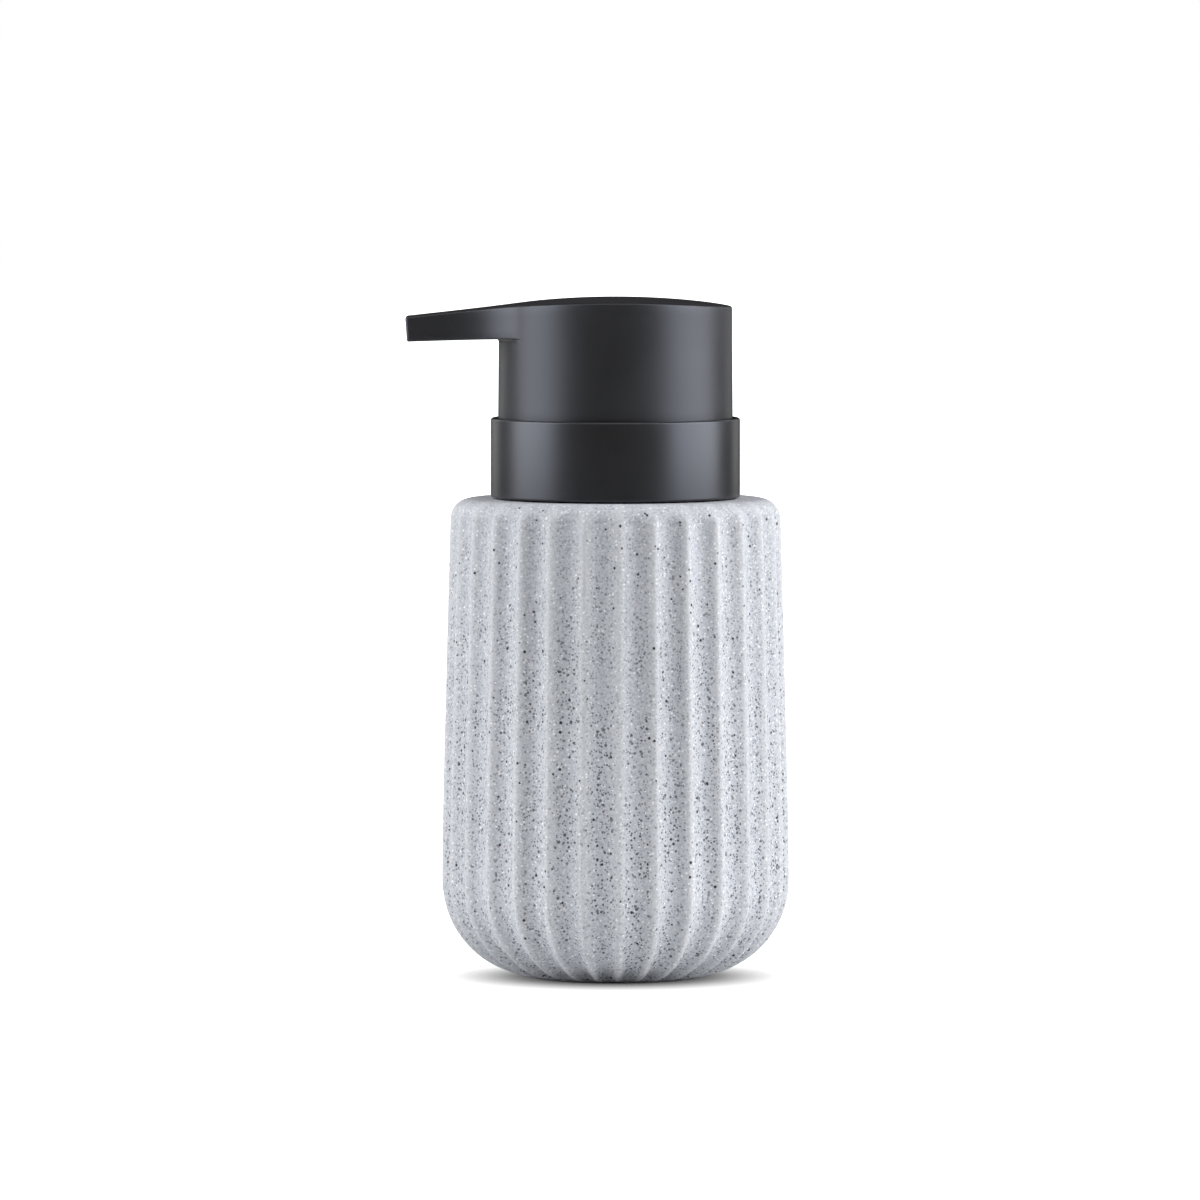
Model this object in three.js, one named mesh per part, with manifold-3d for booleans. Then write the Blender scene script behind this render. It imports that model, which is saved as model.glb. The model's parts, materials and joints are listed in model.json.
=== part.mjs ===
// A counter-top soap pump dispenser: a fluted cast-stone jar with a screw-on lotion pump.
// Millimetres, +Z up. The origin is on the jar's axis, on the surface that it stands on.
// The spout points along -X.

import * as THREE from "three";
import { mergeVertices } from "three/addons/utils/BufferGeometryUtils.js";
import Module from "manifold-3d";

const wasm = await Module();
wasm.setup();

// ---- driving dimensions ---------------------------------------------------------------

const GAP = 0.3; // clearance between neighbouring pieces

// jar
const JAR_TOP = 105.8;
const JAR_R = 38.5; // largest radius, on the crests of the flutes
const JAR_TOP_R = 36.6; // crest radius just under the shoulder
const JAR_CORNER_R = 21.4; // bottom corner
const JAR_SHOULDER_R = 4.7;
const JAR_FOOT = 0.3; // the jar's foot hangs this far above the surface
const JAR_WALL = 5.6;
const JAR_FLOOR = 6.5;
const JAR_FLOOR_R = 13; // rounds the hollow's floor into its wall
const JAR_INNER_SHOULDER_R = 9;
const MOUTH_R = 17;
const MOUTH_DEPTH = 8.4;
const FLUTES = 30;
const FLUTE_DEPTH = 1.45;
const FLUTE_RIM_FADE = [1, 4.5]; // below the top: where the flutes begin, and are at full depth
const FLUTE_FOOT_FADE = [0, 1.5]; // the same above the foot
const STEPS_PER_FLUTE = 4;
const FLUTE_TURN = THREE.MathUtils.degToRad(1.3); // first crest, round from the front (-Y)

// pad under the jar
const PAD_R = 19;
const PAD_THICK = 1.6;

// neck glued into the mouth, and the screw thread on it
const NECK_TOP = 118;
const NECK_R = 12.5;
const NECK_BORE_R = 9.5;
const NECK_PLUG_LENGTH = 10;
const THREAD_PITCH = 4.2;
const THREAD_HEIGHT = 1.15;
const NECK_THREAD_TURNS = 1.5;
const CAP_THREAD_TURNS = 1.25;
const THREAD_STEPS = 24; // in a turn

// pump stack above the neck
const GASKET_THICK = 1.2;
const FLANGE_THICK = 1.2;
const FLANGE_R = 12.2;
const CAP_TOP_THICK = 1.5;
const CAP_BORE_R = 14.2;
const CAP_R = 16;

// pump cylinder
const CYLINDER_R = 8;
const CYLINDER_BORE_R = 6.7;
const CHAMBER_R = 3.2; // round the inlet ball
const CHAMBER_FLOOR = 61;
const CHAMBER_TOP = 67.1;
const BALL_R = 2.4;
const DIP_TUBE_R = 2.6;
const DIP_TUBE_BORE_R = 1.8;
const DIP_TUBE_BOTTOM = 9;

// collar
const COLLAR_R = 27.5;
const COLLAR_BOTTOM = 106.1;
const COLLAR_TOP = 123.6;
const COLLAR_WALL = 1.3;
const COLLAR_FLOOR = 1.3;
const SLEEVE_WALL = 1.4; // the sleeve inside the collar, which grips the screw cap
const SLEEVE_HEIGHT = 11;

// press head
const STROKE = 12;
const HEAD_R = 25.9; // at the skirt's lower edge
const HEAD_TOP_R = 25.75; // the skirt draws in a little towards the top
const HEAD_WALL = 1.6;
const HEAD_BOTTOM = 121.6;
const HEAD_CREST = 149.6;
const HEAD_CEILING = 146; // underside of the top, inside
const CREST_R = 230; // the top curves along X only
const SPOUT_SLOPE = 0.1075;
const SPOUT_TIP_X = -46.3;
const SPOUT_TIP_HALF = 5;
const SPOUT_ROOT_HALF = 6; // where the fillets to the skirt begin
const SPOUT_ROOT_X = -38;
const SPOUT_ROOT_TURN = THREE.MathUtils.degToRad(36); // where they end, round the skirt
const SPOUT_UNDER_TIP = 140.45;
const SPOUT_UNDER_ROOT = 141.2;
const OUTLET_X = -41.4;
const OUTLET_R = 2.5;
const DUCT_Z = 143.3; // axis of the duct in the spout
const DUCT_R = 1.9;

// stem, piston and spring
const STEM_R = 4;
const STEM_BORE_R = 2.5;
const ROD_R = 2.1;
const PISTON_LAG = 1.2; // the piston stays this far behind at the start of a stroke
const PISTON_HEIGHT = 7;
const SPRING_TURNS = 8;
const SPRING_WIRE_R = 0.45;
const SPRING_R = 5;

// ---- materials ------------------------------------------------------------------------

function material(color, roughness, metalness = 0) {
  return new THREE.MeshStandardMaterial({ color, roughness, metalness });
}

const castStone = material(0xc9ccd1, 0.75);
const softBlack = material(0x2b2b2d, 0.5);
const padRubber = material(0x6b6b6e, 0.85);
const sealRubber = material(0x2c2c2e, 0.6);
const blackPlastic = material(0x1d1d1f, 0.4);
const naturalPlastic = material(0xe4e6e4, 0.35);
const clearPlastic = material(0xdde6ea, 0.2);
const sealFoam = material(0xf2f0ea, 0.8);
const springSteel = material(0xb9bcc0, 0.3, 1);

// ---- geometry helpers -----------------------------------------------------------------

// The geometry with its shared vertices merged, and without the triangles that collapse on
// a lathe's axis.
function welded(geometry) {
  geometry.deleteAttribute("normal");
  geometry.deleteAttribute("uv");
  const merged = mergeVertices(geometry, 1e-4);
  const kept = [];
  for (let i = 0; i < merged.index.count; i += 3) {
    const [a, b, c] = [0, 1, 2].map((k) => merged.index.getX(i + k));
    if (a !== b && b !== c && c !== a) kept.push(a, b, c);
  }
  merged.setIndex(kept);
  return merged;
}

// A closed geometry as a solid that can be cut and joined.
function solid(geometry) {
  const closed = welded(geometry);
  const vertProperties = new Float32Array(closed.attributes.position.array);
  const triVerts = new Uint32Array(closed.index.array);
  return new wasm.Manifold(new wasm.Mesh({ numProp: 3, vertProperties, triVerts }));
}

function geometryOf(manifold) {
  const cut = manifold.getMesh();
  const geometry = new THREE.BufferGeometry();
  geometry.setAttribute("position", new THREE.BufferAttribute(cut.vertProperties, 3));
  geometry.setIndex(new THREE.BufferAttribute(cut.triVerts, 1));
  return geometry;
}

function piece(name, shape, look) {
  const geometry = shape.isBufferGeometry ? welded(shape) : geometryOf(shape);
  const mesh = new THREE.Mesh(geometry, look);
  mesh.name = name;
  return mesh;
}

// A path of straight stretches from a list of [x, y] points.
function outline(points) {
  const path = new THREE.Path();
  points.forEach(([x, y], i) => (i ? path.lineTo(x, y) : path.moveTo(x, y)));
  return path;
}

// A solid of revolution about Z from a path in (radius, z), walked with the material on its left.
function revolve(path, segments = 24, arcDivisions = 3) {
  const lathe = new THREE.LatheGeometry(path.getPoints(arcDivisions), segments);
  return lathe.rotateX(Math.PI / 2);
}

// A ring or tube about Z.
function ring(outer, inner, bottom, top, segments = 24) {
  const corners = [[inner, bottom], [outer, bottom], [outer, top], [inner, top], [inner, bottom]];
  return revolve(outline(corners), segments);
}

// A solid rod about Z.
function rod(radius, bottom, top, segments = 24) {
  return revolve(outline([[0, bottom], [radius, bottom], [radius, top], [0, top]]), segments);
}

// A shape drawn in (x, z), extruded along Y by the same distance both ways.
function extrudeAlongY(shape, half, curveSegments = 12) {
  const slab = new THREE.ExtrudeGeometry(shape, { depth: 2 * half, bevelEnabled: false, curveSegments });
  return slab.rotateX(Math.PI / 2).translate(0, half, 0);
}

// A shape drawn in (x, y), extruded up from bottom to top.
function extrudeUp(shape, bottom, top, curveSegments = 12) {
  const options = { depth: top - bottom, bevelEnabled: false, curveSegments };
  return new THREE.ExtrudeGeometry(shape, options).translate(0, 0, bottom);
}

// A right-hand screw ridge: a straight bar of trapezoid section, wound round Z. The bar runs
// from rootR, where it is widest, to rootR + height (a negative height is an inside thread),
// and its height dies away over the last stretch at both ends. bottom is its middle's height
// where the turn is 0, and start is the turn that it begins at.
function screwRidge(rootR, height, bottom, turns, start = 0) {
  const rootHalf = 0.95;
  const crestHalf = 0.45;
  const sunk = -0.4 * Math.sign(height); // the root is this far inside the wall
  const fade = 0.12; // of a turn
  const leastRise = 0.4; // share of the height that is left at the very ends
  const section = new THREE.Shape(
    [[sunk, -rootHalf], [height, -crestHalf], [height, crestHalf], [sunk, rootHalf]].map(
      ([x, y]) => new THREE.Vector2(x, y),
    ),
  );
  const steps = Math.round(turns * THREAD_STEPS);
  const bar = new THREE.ExtrudeGeometry(section, { depth: turns, steps, bevelEnabled: false });
  const corner = bar.attributes.position;
  for (let i = 0; i < corner.count; i += 1) {
    const along = turns - corner.getZ(i);
    const rise = THREE.MathUtils.clamp(Math.min(along, turns - along) / fade, leastRise, 1);
    const onRoot = corner.getX(i) * height < 0;
    const out = onRoot ? sunk : height * rise;
    const turn = 2 * Math.PI * (start + along);
    const z = bottom + THREAD_PITCH * (start + along) + corner.getY(i);
    corner.setXYZ(i, (rootR + out) * Math.cos(turn), (rootR + out) * Math.sin(turn), z);
  }
  return solid(bar);
}

// ---- jar ------------------------------------------------------------------------------

const CORNER_CENTRE = new THREE.Vector2(JAR_R - JAR_CORNER_R, JAR_FOOT + JAR_CORNER_R);
const PAD_RECESS_R = PAD_R + GAP;
const PAD_RECESS_TOP = PAD_THICK + GAP;
const NECK_SEAT_R = 20.3; // counterbore in the jar's top for the neck's flange
const NECK_SEAT = JAR_TOP - 1.6;

// The outer side of the jar on a crest: bottom corner, nearly straight side, shoulder.
function jarSide() {
  const start = Math.asin((PAD_RECESS_R - CORNER_CENTRE.x) / JAR_CORNER_R) - Math.PI / 2;
  const shoulderZ = JAR_TOP - JAR_SHOULDER_R;
  const corner = new THREE.Path();
  corner.absarc(CORNER_CENTRE.x, CORNER_CENTRE.y, JAR_CORNER_R, start, 0);
  const uprightPart = 13; // the side leaves the corner upright and leans in from about here
  const side = new THREE.QuadraticBezierCurve(
    new THREE.Vector2(JAR_R, CORNER_CENTRE.y),
    new THREE.Vector2(JAR_R, CORNER_CENTRE.y + uprightPart),
    new THREE.Vector2(JAR_TOP_R, shoulderZ),
  );
  const shoulder = new THREE.Path();
  shoulder.absarc(JAR_TOP_R - JAR_SHOULDER_R, shoulderZ, JAR_SHOULDER_R, 0, Math.PI / 2);
  const sidePoints = [0.25, 0.5, 0.75].map((t) => side.getPoint(t));
  return [...corner.getPoints(4), ...sidePoints, ...shoulder.getPoints(3)];
}

// How deep the flutes are at a height: full on the side, fading out at the foot and the rim.
function fluteDepth(z) {
  const atRim = THREE.MathUtils.smoothstep(JAR_TOP - z, ...FLUTE_RIM_FADE);
  const atFoot = THREE.MathUtils.smoothstep(z - JAR_FOOT, ...FLUTE_FOOT_FADE);
  return FLUTE_DEPTH * atRim * atFoot;
}

// The jar's outside, lathed on the crests and then pressed in along the flutes.
function flutedBlank() {
  const side = jarSide();
  const foot = new THREE.Vector2(0, side[0].y);
  const top = new THREE.Vector2(0, JAR_TOP);
  const blank = new THREE.LatheGeometry([foot, ...side, top], FLUTES * STEPS_PER_FLUTE);
  const corner = blank.attributes.position;
  const normal = blank.attributes.normal;
  for (let i = 0; i < corner.count; i += 1) {
    const round = Math.atan2(corner.getX(i), corner.getZ(i));
    const wave = (1 - Math.cos(FLUTES * round)) / 2;
    const dent = fluteDepth(corner.getY(i)) * wave;
    corner.setXYZ(
      i,
      corner.getX(i) - dent * normal.getX(i),
      corner.getY(i) - dent * normal.getY(i),
      corner.getZ(i) - dent * normal.getZ(i),
    );
  }
  return blank.rotateX(Math.PI / 2).rotateZ(FLUTE_TURN);
}

// The hollow inside: rounded floor, straight wall, sloping shoulder, mouth and neck seat.
function jarHollow() {
  const wallR = JAR_TOP_R - JAR_WALL;
  const floorEdge = wallR - JAR_FLOOR_R;
  const shoulderEdge = wallR - JAR_INNER_SHOULDER_R;
  const mouthZ = JAR_TOP - MOUTH_DEPTH;
  const path = new THREE.Path();
  path.moveTo(0, JAR_FLOOR);
  path.lineTo(floorEdge, JAR_FLOOR);
  path.absarc(floorEdge, JAR_FLOOR + JAR_FLOOR_R, JAR_FLOOR_R, -Math.PI / 2, 0);
  path.absarc(shoulderEdge, mouthZ - JAR_INNER_SHOULDER_R, JAR_INNER_SHOULDER_R, 0, Math.PI / 2);
  path.lineTo(MOUTH_R, mouthZ);
  path.lineTo(MOUTH_R, NECK_SEAT);
  path.lineTo(NECK_SEAT_R, NECK_SEAT);
  path.lineTo(NECK_SEAT_R, JAR_TOP + 1);
  path.lineTo(0, JAR_TOP + 1);
  return revolve(path, 56, 3);
}

function vessel() {
  const padRecess = rod(PAD_RECESS_R, JAR_FOOT - 1, PAD_RECESS_TOP, 56);
  const body = solid(flutedBlank()).subtract(solid(jarHollow())).subtract(solid(padRecess));
  return piece("vessel", body, castStone);
}

function basePad() {
  const chamfer = 0.3;
  const disc = outline([
    [0, 0],
    [PAD_R - chamfer, 0],
    [PAD_R, chamfer],
    [PAD_R, PAD_THICK],
    [0, PAD_THICK],
  ]);
  return piece("base_pad", revolve(disc, 56), padRubber);
}

// ---- neck and collar ------------------------------------------------------------------

const NECK_FLANGE_R = NECK_SEAT_R - GAP;
const NECK_PLUG_R = MOUTH_R - GAP;
const NECK_PLUG_BOTTOM = JAR_TOP - NECK_PLUG_LENGTH;
const NECK_THREAD_BOTTOM = JAR_TOP + 3.2; // the thread's middle, where it begins

function neckInsert() {
  const tube = outline([
    [NECK_BORE_R, NECK_PLUG_BOTTOM],
    [NECK_PLUG_R, NECK_PLUG_BOTTOM],
    [NECK_PLUG_R, NECK_SEAT + GAP],
    [NECK_FLANGE_R, NECK_SEAT + GAP],
    [NECK_FLANGE_R, JAR_TOP],
    [NECK_R, JAR_TOP],
    [NECK_R, NECK_TOP],
    [NECK_BORE_R, NECK_TOP],
    [NECK_BORE_R, NECK_PLUG_BOTTOM],
  ]);
  const thread = screwRidge(NECK_R, THREAD_HEIGHT, NECK_THREAD_BOTTOM, NECK_THREAD_TURNS);
  return piece("neck_insert", solid(revolve(tube, 36)).add(thread), naturalPlastic);
}

const GASKET_BOTTOM = NECK_TOP + GAP;
const FLANGE_BOTTOM = GASKET_BOTTOM + GASKET_THICK + GAP;
const CHAPLET_SEAT = FLANGE_BOTTOM + FLANGE_THICK + GAP;
const CHAPLET_FLANGE = 1;
const CAP_CEILING = CHAPLET_SEAT + CHAPLET_FLANGE + GAP;
const CAP_TOP = CAP_CEILING + CAP_TOP_THICK;
const CAP_HOLE_R = 7.3;
const CAP_BOTTOM = COLLAR_BOTTOM + GAP;

function neckGasket() {
  const boreR = NECK_BORE_R + 0.4;
  const gasket = ring(FLANGE_R, boreR, GASKET_BOTTOM, GASKET_BOTTOM + GASKET_THICK, 32);
  return piece("neck_gasket", gasket, sealFoam);
}

function screwCap() {
  const cup = outline([
    [CAP_BORE_R, CAP_BOTTOM],
    [CAP_R, CAP_BOTTOM],
    [CAP_R, CAP_TOP],
    [CAP_HOLE_R, CAP_TOP],
    [CAP_HOLE_R, CAP_CEILING],
    [CAP_BORE_R, CAP_CEILING],
    [CAP_BORE_R, CAP_BOTTOM],
  ]);
  const below = 1.7; // the cap's thread hangs this far under the neck's
  const start = 0.25;
  const bottom = NECK_THREAD_BOTTOM - below;
  const thread = screwRidge(CAP_BORE_R, -THREAD_HEIGHT, bottom, CAP_THREAD_TURNS, start);
  return piece("screw_cap", solid(revolve(cup, 36)).add(thread), blackPlastic);
}

// Outer wall, floor and the sleeve that grips the screw cap, in one moulding.
function collarShell() {
  const sleeveInner = CAP_R + GAP;
  const sleeveOuter = sleeveInner + SLEEVE_WALL;
  const sleeveTop = COLLAR_BOTTOM + SLEEVE_HEIGHT;
  const floorTop = COLLAR_BOTTOM + COLLAR_FLOOR;
  const edge = 0.4;
  const section = outline([
    [sleeveInner, COLLAR_BOTTOM],
    [COLLAR_R - edge, COLLAR_BOTTOM],
    [COLLAR_R, COLLAR_BOTTOM + edge],
    [COLLAR_R, COLLAR_TOP - edge],
    [COLLAR_R - edge, COLLAR_TOP],
    [COLLAR_R - COLLAR_WALL, COLLAR_TOP],
    [COLLAR_R - COLLAR_WALL, floorTop],
    [sleeveOuter, floorTop],
    [sleeveOuter, sleeveTop],
    [sleeveInner, sleeveTop],
    [sleeveInner, COLLAR_BOTTOM],
  ]);
  return piece("collar_shell", revolve(section, 56), softBlack);
}

// ---- pump cylinder and its inlet valve --------------------------------------------------

const SOCKET_R = DIP_TUBE_R + GAP;
const SOCKET_WALL_R = SOCKET_R + 1.7;
const SOCKET_DEPTH = 10;
const SOCKET_TOP = CHAMBER_FLOOR - 0.8;
const SEAT_R = DIP_TUBE_BORE_R - 0.2; // the ball's seat is a cone, narrowest here
const SEAT_TOP = CHAMBER_FLOOR + 2.3;

function pumpHousing() {
  const taperBottom = CHAMBER_FLOOR + 1;
  const taperTop = CHAMBER_TOP - 1.5;
  const section = outline([
    [SOCKET_R, SOCKET_TOP - SOCKET_DEPTH],
    [SOCKET_WALL_R, SOCKET_TOP - SOCKET_DEPTH],
    [SOCKET_WALL_R, taperBottom],
    [CYLINDER_R, taperTop],
    [CYLINDER_R, FLANGE_BOTTOM],
    [FLANGE_R, FLANGE_BOTTOM],
    [FLANGE_R, FLANGE_BOTTOM + FLANGE_THICK],
    [CYLINDER_BORE_R, FLANGE_BOTTOM + FLANGE_THICK],
    [CYLINDER_BORE_R, CHAMBER_TOP],
    [CHAMBER_R, CHAMBER_TOP],
    [CHAMBER_R, SEAT_TOP],
    [SEAT_R, CHAMBER_FLOOR],
    [SEAT_R, SOCKET_TOP],
    [SOCKET_R, SOCKET_TOP],
    [SOCKET_R, SOCKET_TOP - SOCKET_DEPTH],
  ]);
  const ventR = 0.8;
  const ventLength = 4; // more than the cylinder's wall
  const ventDrop = 3;
  const vent = new THREE.CylinderGeometry(ventR, ventR, ventLength, 8)
    .rotateZ(Math.PI / 2)
    .translate(CYLINDER_R, 0, FLANGE_BOTTOM - ventDrop);
  return piece("pump_housing", solid(revolve(section)).subtract(solid(vent)), naturalPlastic);
}

const CHAPLET_BORE_R = STEM_R + GAP;
const CHAPLET_BOTTOM = 106.6;
const WIPER_SEAT_R = 5.4;
const WIPER_HEIGHT = 1.6;
const CHAPLET_TOP = CHAPLET_SEAT + CHAPLET_FLANGE + 0.6;
const WIPER_BOTTOM = CHAPLET_TOP - WIPER_HEIGHT;

// Flange over the housing, sleeve down its bore and a seat for the wiper at the top.
function chaplet() {
  const sleeveR = CYLINDER_BORE_R - GAP;
  const flangeR = FLANGE_R - 1.4;
  const neckR = CAP_HOLE_R - GAP;
  const section = outline([
    [CHAPLET_BORE_R, CHAPLET_BOTTOM],
    [sleeveR, CHAPLET_BOTTOM],
    [sleeveR, CHAPLET_SEAT],
    [flangeR, CHAPLET_SEAT],
    [flangeR, CHAPLET_SEAT + CHAPLET_FLANGE],
    [neckR, CHAPLET_SEAT + CHAPLET_FLANGE],
    [neckR, CHAPLET_TOP],
    [WIPER_SEAT_R + GAP, CHAPLET_TOP],
    [WIPER_SEAT_R + GAP, WIPER_BOTTOM - GAP],
    [CHAPLET_BORE_R, WIPER_BOTTOM - GAP],
    [CHAPLET_BORE_R, CHAPLET_BOTTOM],
  ]);
  return piece("chaplet", revolve(section), naturalPlastic);
}

function stemWiper() {
  return piece("stem_wiper", ring(WIPER_SEAT_R, CHAPLET_BORE_R, WIPER_BOTTOM, CHAPLET_TOP), sealRubber);
}

const RETAINER_BOTTOM = CHAMBER_TOP + GAP;
const RETAINER_THICK = 1.6;

function valveRetainer() {
  const hole = 1.8;
  const disc = ring(CYLINDER_BORE_R - GAP, hole, RETAINER_BOTTOM, RETAINER_BOTTOM + RETAINER_THICK);
  return piece("valve_retainer", disc, naturalPlastic);
}

// The ball lies on the seat's cone: its centre is a ball radius and a hair from the cone.
function inletBall() {
  const cone = Math.atan2(CHAMBER_R - SEAT_R, SEAT_TOP - CHAMBER_FLOOR);
  const reach = BALL_R + 0.15;
  const centre = CHAMBER_FLOOR + (reach - SEAT_R * Math.cos(cone)) / Math.sin(cone);
  const ball = new THREE.SphereGeometry(BALL_R, 16, 10).rotateX(Math.PI / 2);
  const mesh = piece("inlet_ball", ball, springSteel);
  mesh.position.z = centre;
  return mesh;
}

function dipTube() {
  const top = SOCKET_TOP - GAP;
  return piece("dip_tube", ring(DIP_TUBE_R, DIP_TUBE_BORE_R, DIP_TUBE_BOTTOM, top, 20), clearPlastic);
}

// ---- spring, rod, piston and stem -------------------------------------------------------

const STEM_FLANGE_THICK = 1.7;
const STEM_BOTTOM = CHAPLET_BOTTOM - GAP - STEM_FLANGE_THICK;
const PISTON_BOTTOM = STEM_BOTTOM - PISTON_LAG - PISTON_HEIGHT - 0.1;
const SHOULDER_TOP = PISTON_BOTTOM - GAP;
const SHOULDER_HEIGHT = 3.7;
const ROD_FOOT = SHOULDER_TOP - SHOULDER_HEIGHT;
const SPRING_BOTTOM = RETAINER_BOTTOM + RETAINER_THICK + GAP;
const SPRING_TOP = ROD_FOOT - GAP;

class Helix extends THREE.Curve {
  constructor(radius, bottom, top, turns) {
    super();
    Object.assign(this, { radius, bottom, top, turns });
  }

  getPoint(t, target = new THREE.Vector3()) {
    const turn = 2 * Math.PI * this.turns * t;
    const z = THREE.MathUtils.lerp(this.bottom, this.top, t);
    return target.set(this.radius * Math.cos(turn), this.radius * Math.sin(turn), z);
  }
}

function returnSpring() {
  const wire = new THREE.Shape().absarc(0, 0, SPRING_WIRE_R, 0, 2 * Math.PI);
  const low = SPRING_BOTTOM + SPRING_WIRE_R;
  const high = SPRING_TOP - SPRING_WIRE_R;
  const route = new Helix(SPRING_R, low, high, SPRING_TURNS);
  const steps = SPRING_TURNS * 10;
  const options = { extrudePath: route, steps, curveSegments: 3, bevelEnabled: false };
  const coil = new THREE.ExtrudeGeometry(wire, options);
  return piece("return_spring", coil, springSteel);
}

function pistonRod() {
  const footR = CYLINDER_BORE_R - 0.9;
  const footTop = ROD_FOOT + 1.5;
  const shoulderR = 4;
  const shoulderEdge = ROD_FOOT + 2.4; // from here up, a cone to the rod
  const top = STEM_BOTTOM + 9;
  const section = outline([
    [0, ROD_FOOT],
    [footR, ROD_FOOT],
    [footR, footTop],
    [shoulderR, footTop],
    [shoulderR, shoulderEdge],
    [ROD_R, SHOULDER_TOP],
    [ROD_R, top],
    [0, top],
  ]);
  return piece("piston_rod", revolve(section), naturalPlastic);
}

// A sleeve on the rod and an outer seal with a groove above and below, so it can flex.
function piston() {
  const sealR = CYLINDER_BORE_R - 0.25;
  const sealInner = sealR - 1;
  const sealInset = 0.5; // the seal is this much shorter than the sleeve at each end
  const sleeveR = ROD_R + 1.3;
  const sleeveInner = ROD_R + 0.4;
  const webHalf = 0.9;
  const middle = PISTON_BOTTOM + PISTON_HEIGHT / 2;
  const top = PISTON_BOTTOM + PISTON_HEIGHT;
  const section = outline([
    [sleeveInner, PISTON_BOTTOM],
    [sleeveR, PISTON_BOTTOM],
    [sleeveR, middle - webHalf],
    [sealInner, middle - webHalf],
    [sealInner, PISTON_BOTTOM + sealInset],
    [sealR, PISTON_BOTTOM + sealInset],
    [sealR, top - sealInset],
    [sealInner, top - sealInset],
    [sealInner, middle + webHalf],
    [sleeveR, middle + webHalf],
    [sleeveR, top],
    [sleeveInner, top],
    [sleeveInner, PISTON_BOTTOM],
  ]);
  return piece("piston", revolve(section), sealFoam);
}

const STEM_TOP = DUCT_Z - 2.6;

// The foot's flange stops under the chaplet, so the head can't be pulled out.
function stem() {
  const flangeR = 5.8;
  const section = outline([
    [STEM_BORE_R, STEM_BOTTOM],
    [flangeR, STEM_BOTTOM],
    [flangeR, CHAPLET_BOTTOM - GAP],
    [STEM_R, CHAPLET_BOTTOM - GAP],
    [STEM_R, STEM_TOP],
    [STEM_BORE_R, STEM_TOP],
    [STEM_BORE_R, STEM_BOTTOM],
  ]);
  return piece("stem", revolve(section), naturalPlastic);
}

// ---- press head -------------------------------------------------------------------------

const HEAD_BORE_R = HEAD_TOP_R - HEAD_WALL;
const TANGENT_X = -CREST_R * Math.sin(Math.atan(SPOUT_SLOPE)); // where the arc meets the slope

// Height of the head's top surface at x.
function topZ(x) {
  const onArc = Math.max(x, TANGENT_X);
  const arcZ = HEAD_CREST - CREST_R + Math.sqrt(CREST_R ** 2 - onArc ** 2);
  return arcZ + (x - onArc) * SPOUT_SLOPE;
}

// Everything under the top surface, drawn in (x, z).
function underTop() {
  const reach = 60; // well past the object
  const arcTurn = Math.asin(HEAD_R / CREST_R) * 1.2; // a little past the head's edge
  const slopeTurn = Math.atan(SPOUT_SLOPE);
  const from = Math.PI / 2 - arcTurn;
  const to = Math.PI / 2 + slopeTurn;
  const shape = new THREE.Shape();
  shape.moveTo(-reach, 0);
  shape.lineTo(reach, 0);
  shape.lineTo(reach, topZ(CREST_R * Math.sin(arcTurn)));
  shape.absarc(0, HEAD_CREST - CREST_R, CREST_R, from, to);
  shape.lineTo(-reach, topZ(-reach));
  return extrudeAlongY(shape, reach, 16);
}

// The spout seen from above: a taper, with fillets that run out on the skirt.
function spoutPlan() {
  const onSkirt = new THREE.Vector2(-Math.cos(SPOUT_ROOT_TURN), Math.sin(SPOUT_ROOT_TURN));
  const sunk = 0.1; // the spout's root starts this far inside the skirt's surface
  const foot = onSkirt.clone().multiplyScalar(HEAD_TOP_R - sunk);
  const sideSlope = (SPOUT_ROOT_HALF - SPOUT_TIP_HALF) / (SPOUT_ROOT_X - SPOUT_TIP_X);
  // the fillet's control point is where the side's line meets the skirt's tangent
  const tangentX = (foot.y - SPOUT_ROOT_HALF + sideSlope * SPOUT_ROOT_X + foot.x * onSkirt.x / onSkirt.y)
    / (sideSlope + onSkirt.x / onSkirt.y);
  const tangentY = SPOUT_ROOT_HALF + sideSlope * (tangentX - SPOUT_ROOT_X);
  const shape = new THREE.Shape();
  shape.moveTo(0, -foot.y);
  shape.lineTo(0, foot.y);
  shape.lineTo(foot.x, foot.y);
  shape.quadraticCurveTo(tangentX, tangentY, SPOUT_ROOT_X, SPOUT_ROOT_HALF);
  shape.lineTo(SPOUT_TIP_X, SPOUT_TIP_HALF);
  shape.lineTo(SPOUT_TIP_X, -SPOUT_TIP_HALF);
  shape.lineTo(SPOUT_ROOT_X, -SPOUT_ROOT_HALF);
  shape.quadraticCurveTo(tangentX, -tangentY, foot.x, -foot.y);
  return shape;
}

// Everything over the spout's underside, drawn in (x, z). The tip's face leans in a little.
function overSpout() {
  const lean = 0.4;
  const above = HEAD_CREST + 5;
  const shape = new THREE.Shape();
  shape.moveTo(SPOUT_TIP_X + lean, SPOUT_UNDER_TIP);
  shape.lineTo(-HEAD_BORE_R, SPOUT_UNDER_ROOT);
  shape.lineTo(0, SPOUT_UNDER_ROOT);
  shape.lineTo(0, above);
  shape.lineTo(SPOUT_TIP_X, above);
  shape.lineTo(SPOUT_TIP_X, topZ(SPOUT_TIP_X));
  return extrudeAlongY(shape, HEAD_R);
}

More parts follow.
